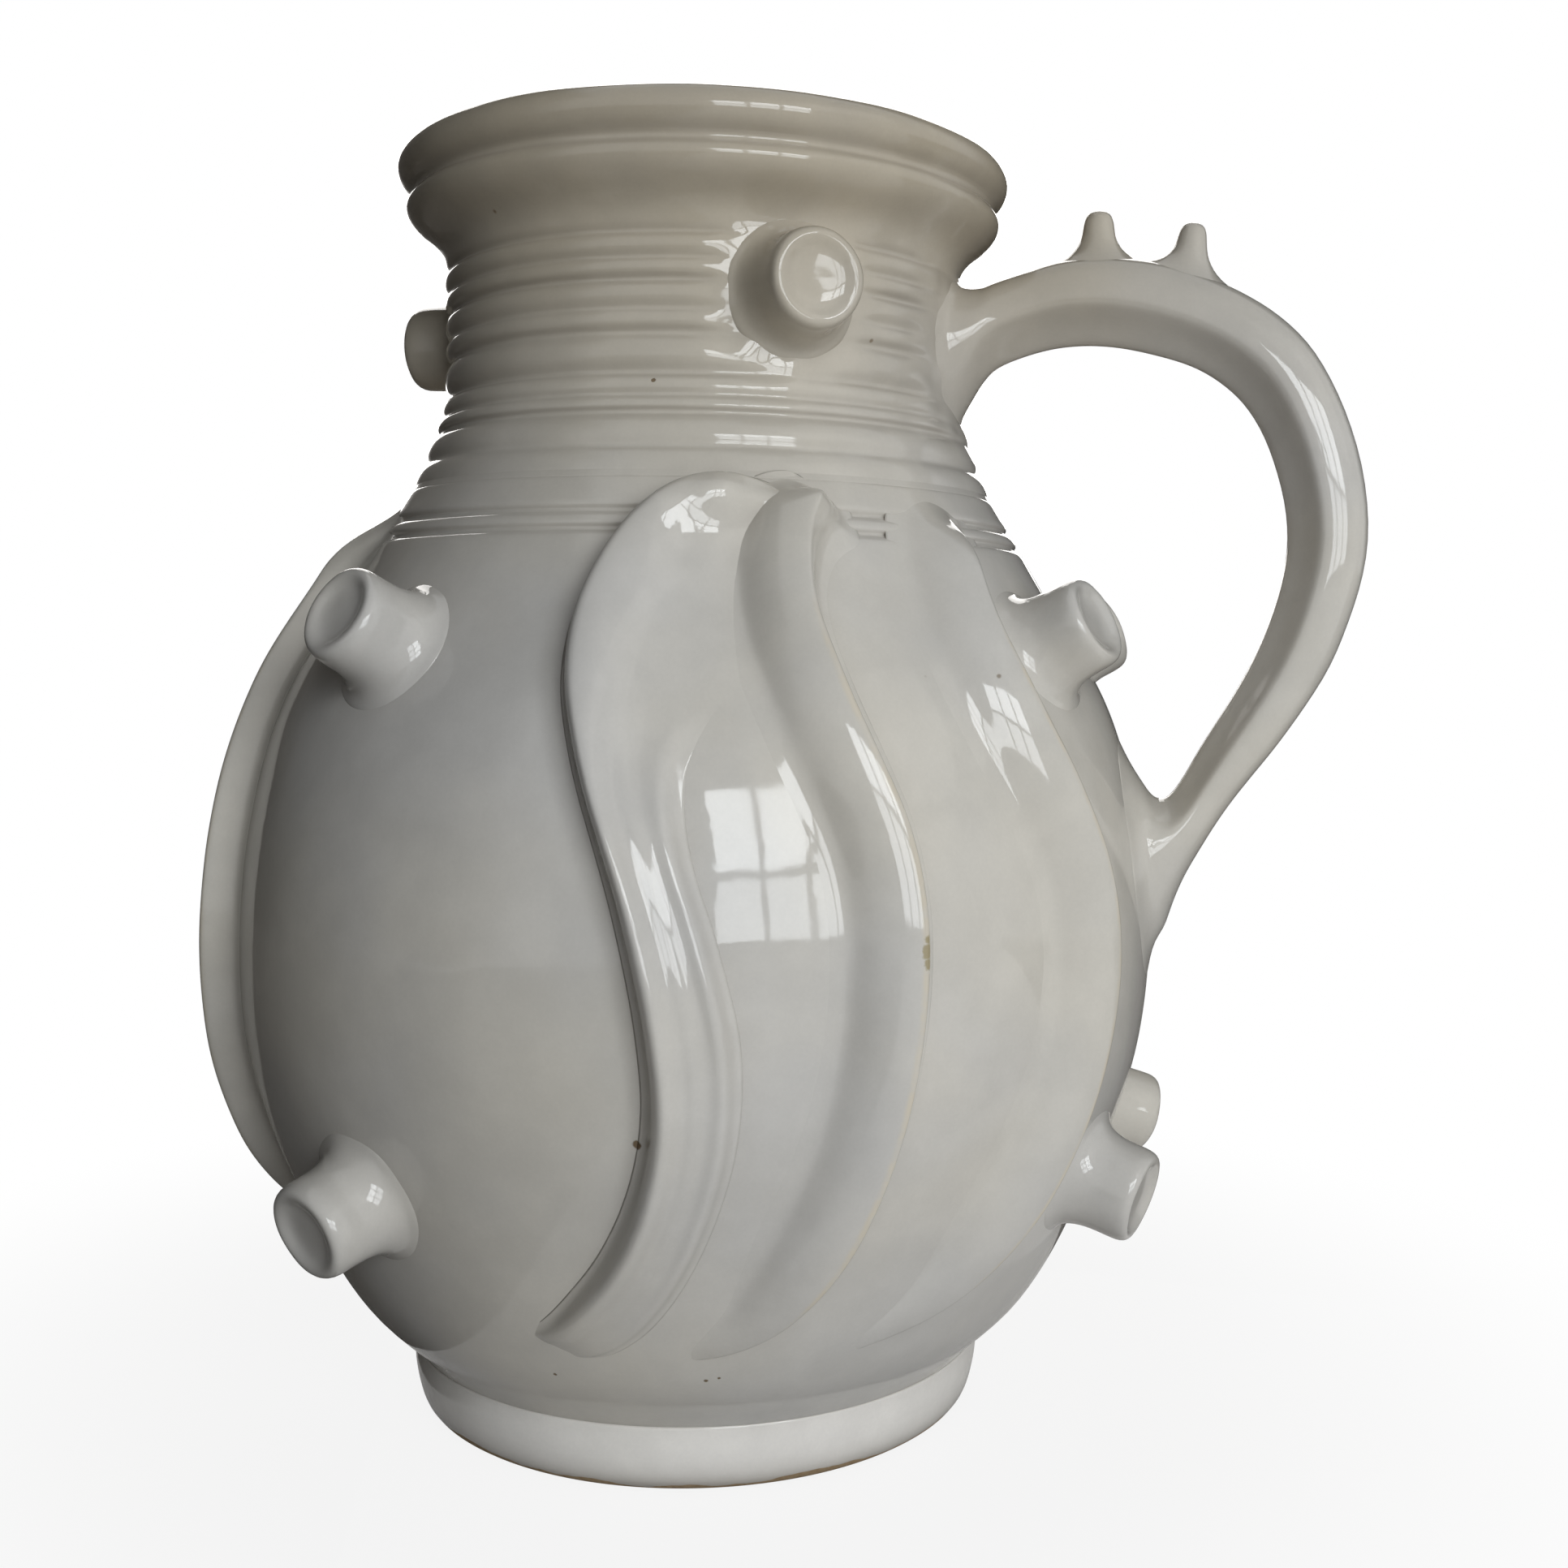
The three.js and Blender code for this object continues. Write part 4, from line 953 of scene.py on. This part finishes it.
def strap_coil(name):
    last = len(STRAP_LINE) - 1
    rings = []
    for k in range(STRAP_STATIONS):
        u = k / (STRAP_STATIONS - 1)
        crest_a, crest_z, toe_a, toe_z, rise, band = blend_rows(STRAP_LINE, u * last)
        band = min(max(band, 0), 1)
        per_degree, per_height = stretch(crest_z)
        way = Vector(((toe_a - crest_a) * per_degree, (toe_z - crest_z) * per_height))
        way.normalize()
        sink = SINK * (1 - smooth_step(*LOW_RISE, rise)) * smooth_step(*LOWER_HALF, u)
        ring = []
        for across, share in OUTER_WALL:
            turned = crest_a + way.x * across / per_degree
            raised = crest_z + way.y * across / per_height
            proud = share * STRAP_HEIGHT * (rise if share > 0 else 1) - sink
            ring.append(on_belly(turned, raised, proud))
        for share, leaf, flat in STRAP_TOP:
            top = leaf + (flat - leaf) * band
            proud = top * STRAP_HEIGHT * (rise if top > 0 else 1) - sink
            angle, height = crest_a + (toe_a - crest_a) * share, crest_z + (toe_z - crest_z) * share
            crumple = noise.noise(on_belly(angle, height, 0) / (CRUMPLE_SIZE * MM)) * CRUMPLE
            crumple *= 1 - smooth_step(*CRUMPLE_END, u)
            ring.append(on_belly(angle, height, proud + crumple * smooth_step(0.03, 0.5, top)))
        for share, sunk in STRAP_BASE:
            angle, height = crest_a + (toe_a - crest_a) * share, crest_z + (toe_z - crest_z) * share
            ring.append(on_belly(angle, height, sunk * STRAP_HEIGHT))
        rings.append(ring)
    return draw_out(name, rings)


print("the strap has", STRAP_STATIONS, "rings")

# %% [markdown]
# One set is modelled. The other two are copies, each with its own mesh, turned round the axis.

# %% Lay the three sets on the belly
RIB_SETS = {"front": 0, "rear": 127, "left": -120}
# Shares of the way after which the crest and the soft side stand at full height
models = {
    1: strap_coil("coil_1"),
    2: ramp("coil_2", RAMP_LINES[2], 0.07, 0.1),
    3: ramp("coil_3", RAMP_LINES[3], 0.16, 0.18),
}
to_axis = Matrix.Translation(at(0, 0, 0))
for set_name, degrees in RIB_SETS.items():
    for k, model in models.items():
        coil = model.copy()
        coil.data = model.data.copy()
        coil.name = coil.data.name = f"s_rib_{set_name}_{k}_rolled"
        bpy.context.collection.objects.link(coil)
        turned = Matrix.Rotation(math.radians(degrees), 4, "Z")
        coil.data.transform(to_axis @ turned @ to_axis.inverted())
        finish_clay(coil, f"s_rib_{set_name}_{k}", white_glaze)
for model in models.values():
    bpy.data.objects.remove(model)

# %% [markdown]
# ## Table, background and light
#
# The jug stands on a plain white table. The camera sees table and background as white, with only
# the jug's own soft shadow on it. In the glaze the table near the jug shows darker than that.

# %% Table
TABLE_SIZE, GRID, TABLE_BELOW = 8, 8, 0.02
bpy.ops.mesh.primitive_grid_add(x_subdivisions=GRID, y_subdivisions=GRID, size=TABLE_SIZE)
table = bpy.context.object
table.name = "table"
table.data.transform(Matrix.Translation(at(0, 0, -TABLE_BELOW)))


def seen_directly(tree):
    path = tree.nodes.new("ShaderNodeLightPath")
    glossy = math_node(tree, "MAXIMUM", path.outputs["Is Camera Ray"], path.outputs["Is Glossy Ray"])
    return math_node(tree, "MAXIMUM", glossy, path.outputs["Is Transmission Ray"])


def mix_shaders(tree, share, first, second):
    mixed = tree.nodes.new("ShaderNodeMixShader")
    for socket, output in zip(mixed.inputs, (share, first.outputs[0], second.outputs[0])):
        tree.links.new(output, socket)
    return mixed.outputs[0]


WHITE = (1, 1, 1, 1)
TABLE_TONE = (0.5, 0.49, 0.48, 1)
SHADOW_KEPT, SHADOW_REACH = 0.12, (0.1, 0.3)
MIRRORED_SHADOW, MIRRORED_REACH = 0.8, (0.2, 0.7)
cloth = bpy.data.materials.new("table_white")
cloth.use_nodes = True
tree = cloth.node_tree
tree.nodes.clear()
matt = add_node(tree, "ShaderNodeBsdfDiffuse", Color=TABLE_TONE)
glow = add_node(tree, "ShaderNodeEmission", Color=WHITE, Strength=1.0)
coords = tree.nodes.new("ShaderNodeTexCoord").outputs["Object"]
from_jug = math_node(tree, "DISTANCE", coords, at(0, 0, 0), "ShaderNodeVectorMath")
plain = ramp_node(tree, from_jug, *SHADOW_REACH, 1 - SHADOW_KEPT, 1.0)
shown = math_node(tree, "MULTIPLY", seen_directly(tree), plain)
# In the glaze the table shows with a deeper shadow than the camera sees
mirrored = tree.nodes.new("ShaderNodeLightPath").outputs["Is Glossy Ray"]
shaded = ramp_node(tree, from_jug, *MIRRORED_REACH, MIRRORED_SHADOW, 0.0)
left_bright = math_node(tree, "SUBTRACT", 1, math_node(tree, "MULTIPLY", mirrored, shaded))
share = math_node(tree, "MULTIPLY", shown, left_bright)
ending = tree.nodes.new("ShaderNodeOutputMaterial")
tree.links.new(mix_shaders(tree, share, matt, glow), ending.inputs["Surface"])
table.data.materials.append(cloth)

# %% [markdown]
# A white room lights the pot from all sides and takes away its shadows. So the room gives hardly
# any light of its own, and it is white only where the camera or the glaze looks at it.

# %% Background
ROOM, ROOM_LEVEL = (0.98, 0.95, 0.91, 1), 0.015
world = bpy.context.scene.world or bpy.data.worlds.new("room")
bpy.context.scene.world = world
world.use_nodes = True
tree = world.node_tree
tree.nodes.clear()
dim = add_node(tree, "ShaderNodeBackground", Color=ROOM, Strength=ROOM_LEVEL)
bright = add_node(tree, "ShaderNodeBackground", Color=WHITE, Strength=1.0)
ending = tree.nodes.new("ShaderNodeOutputWorld")
tree.links.new(mix_shaders(tree, seen_directly(tree), dim, bright), ending.inputs["Surface"])

# %% [markdown]
# In a white room a glossy white pot loses its edges. Two sheets of dark felt, one upright and one
# on the table, darken the glaze on the side away from the window. Two more stand and lie behind
# and darken it where it is seen along its surface. Their edges fade, so no hard line shows. The
# camera doesn't see them, and they throw no shadow.

# %% Dark felt
FELT_DARK, FELT_LIGHT = (0.05, 0.045, 0.04, 1), (0.09, 0.085, 0.08, 1)
WEAVE_SCALE, SOFT_EDGE, FELT_ROUGH = 400, 0.3, 0.95
felt = bpy.data.materials.new("dark_felt")
felt.use_nodes = True
tree = felt.node_tree
cloth_shader = tree.nodes["Principled BSDF"]
weave = noise_node(tree, tree.nodes.new("ShaderNodeTexCoord").outputs["Object"], WEAVE_SCALE, 3)
tree.links.new(mix_node(tree, weave, FELT_DARK, FELT_LIGHT), cloth_shader.inputs["Base Color"])
cloth_shader.inputs["Roughness"].default_value = FELT_ROUGH
on_sheet = tree.nodes.new("ShaderNodeSeparateXYZ")
tree.links.new(tree.nodes.new("ShaderNodeTexCoord").outputs["UV"], on_sheet.inputs["Vector"])
across, along = on_sheet.outputs["Y"], on_sheet.outputs["X"]
to_side = math_node(tree, "MINIMUM", across, math_node(tree, "SUBTRACT", 1, across))
side_fade = ramp_node(tree, to_side, 0.0, SOFT_EDGE)
end_fade = ramp_node(tree, along, 1.0, 1 - SOFT_EDGE)
clear = tree.nodes.new("ShaderNodeBsdfTransparent")
veil = mix_shaders(tree, math_node(tree, "MULTIPLY", side_fade, end_fade), clear, cloth_shader)
tree.links.new(veil, tree.nodes["Material Output"].inputs["Surface"])


def felt_sheet(name, size, placing):
    bpy.ops.mesh.primitive_grid_add(x_subdivisions=GRID, y_subdivisions=GRID, size=1)
    sheet = bpy.context.object
    sheet.name = name
    sheet.data.transform(placing @ Matrix.Diagonal((*size, 1, 1)))
    sheet.data.materials.append(felt)
    sheet.visible_camera = sheet.visible_shadow = False


def towards(angle, away, rise):
    turned = Matrix.Rotation(math.radians(angle), 4, "Z")
    return Matrix.Translation(at(0, 0, 0)) @ turned @ Matrix.Translation((away, 0, rise))


# Upright sheet and its angle, lying sheet and its angle, then in metres the nearest and farthest
# reach, height, width, and how far the lying sheet is above the table
FELTS = [
    ("felt_upright", 176, "felt_on_table", 200, 0.078, 1.1, 3.2, 4.6, 0.0002),
    ("felt_behind", 86, "felt_on_table_behind", 86, 0.1, 2.0, 4.4, 6, 0.0004),
]
FELT_SPARE = 0.5
for standing, standing_angle, lying, lying_angle, near, far, tall, wide, above in FELTS:
    upright = towards(standing_angle, far, tall / 2) @ Matrix.Rotation(-math.pi / 2, 4, "Y")
    felt_sheet(standing, (tall, wide), upright)
    length = far + FELT_SPARE - near
    felt_sheet(lying, (length, wide), towards(lying_angle, near + length / 2, above))

# %% [markdown]
# A window with two rows of three panes stands to the right of the camera and shows in the glaze.
# Large soft lamps fill the front, the right and the back. Area lamps give soft shadows and a shape
# that the glaze can mirror, which a sun or a point lamp doesn't.

# %% Window and soft lights
LAMPS_AIM = 130


def soft_light(name, angle, rise, distance, size, radiance, tint, across=0.0, above=0.0):
    a, e = math.radians(angle), math.radians(rise)
    away = Vector((math.cos(a) * math.cos(e), math.sin(a) * math.cos(e), math.sin(e)))
    bpy.ops.object.light_add(type="AREA")
    lamp = bpy.context.object
    lamp.name = name
    lamp.data.shape = "RECTANGLE"
    lamp.data.size, lamp.data.size_y = size
    lamp.data.energy = radiance * math.pi * size[0] * size[1]
    lamp.data.color = tint
    lamp.visible_camera = False
    facing = away.to_track_quat("Z", "Y").to_matrix().to_4x4()
    middle = at(0, 0, LAMPS_AIM) + away * distance
    lamp.matrix_world = Matrix.Translation(middle) @ facing @ Matrix.Translation((across, above, 0))
    return lamp


DAYLIGHT, WARM, SOFT_WHITE = (0.93, 0.97, 1), (1, 0.96, 0.9), (1, 0.98, 0.95)
WINDOW_ANGLE, WINDOW_RISE, WINDOW_DISTANCE = -55, 14, 1.2
PANE, PANE_GAP = (0.215, 0.25), 0.03
LOWER_SKY, UPPER_SKY = 7.2, 10.4
for column in range(3):
    for row, sky in enumerate((LOWER_SKY, UPPER_SKY)):
        soft_light(
            f"pane_{column}_{row}", WINDOW_ANGLE, WINDOW_RISE, WINDOW_DISTANCE, PANE, sky, DAYLIGHT,
            (column - 1) * (PANE[0] + PANE_GAP), (row - 0.5) * (PANE[1] + PANE_GAP),
        )

# Angle, rise, size, radiance, tint
FILLS = {
    "front_fill": (-45, 30, (0.8, 0.8), 0.45, WARM),
    "right_fill": (-20, 35, (0.8, 0.8), 0.6, WARM),
    "low_fill": (-10, 3, (0.8, 0.8), 0.2, WARM),
    "back_fill": (112, 28, (1.6, 1.2), 3.2, SOFT_WHITE),
}
FILL_DISTANCE = 1.6
for name, (angle, rise, size, radiance, tint) in FILLS.items():
    soft_light(name, angle, rise, FILL_DISTANCE, size, radiance, tint)

# Sunlit patches of the table throw light up at the foot
PATCH_ANGLES, PATCH_AWAY, PATCH_SIZE, PATCH_RADIANCE = (-62, -20), 320, (0.36, 0.36), 0.15
for angle in PATCH_ANGLES:
    patch = soft_light(f"table_patch{angle}", 0, 90, 1, PATCH_SIZE, PATCH_RADIANCE, SOFT_WHITE)
    a = math.radians(angle)
    middle = at(PATCH_AWAY * math.cos(a), PATCH_AWAY * math.sin(a), 0.4)
    patch.matrix_world = Matrix.Translation(middle) @ Matrix.Rotation(math.pi, 4, "X")

bpy.context.scene.view_settings.view_transform = "Standard"
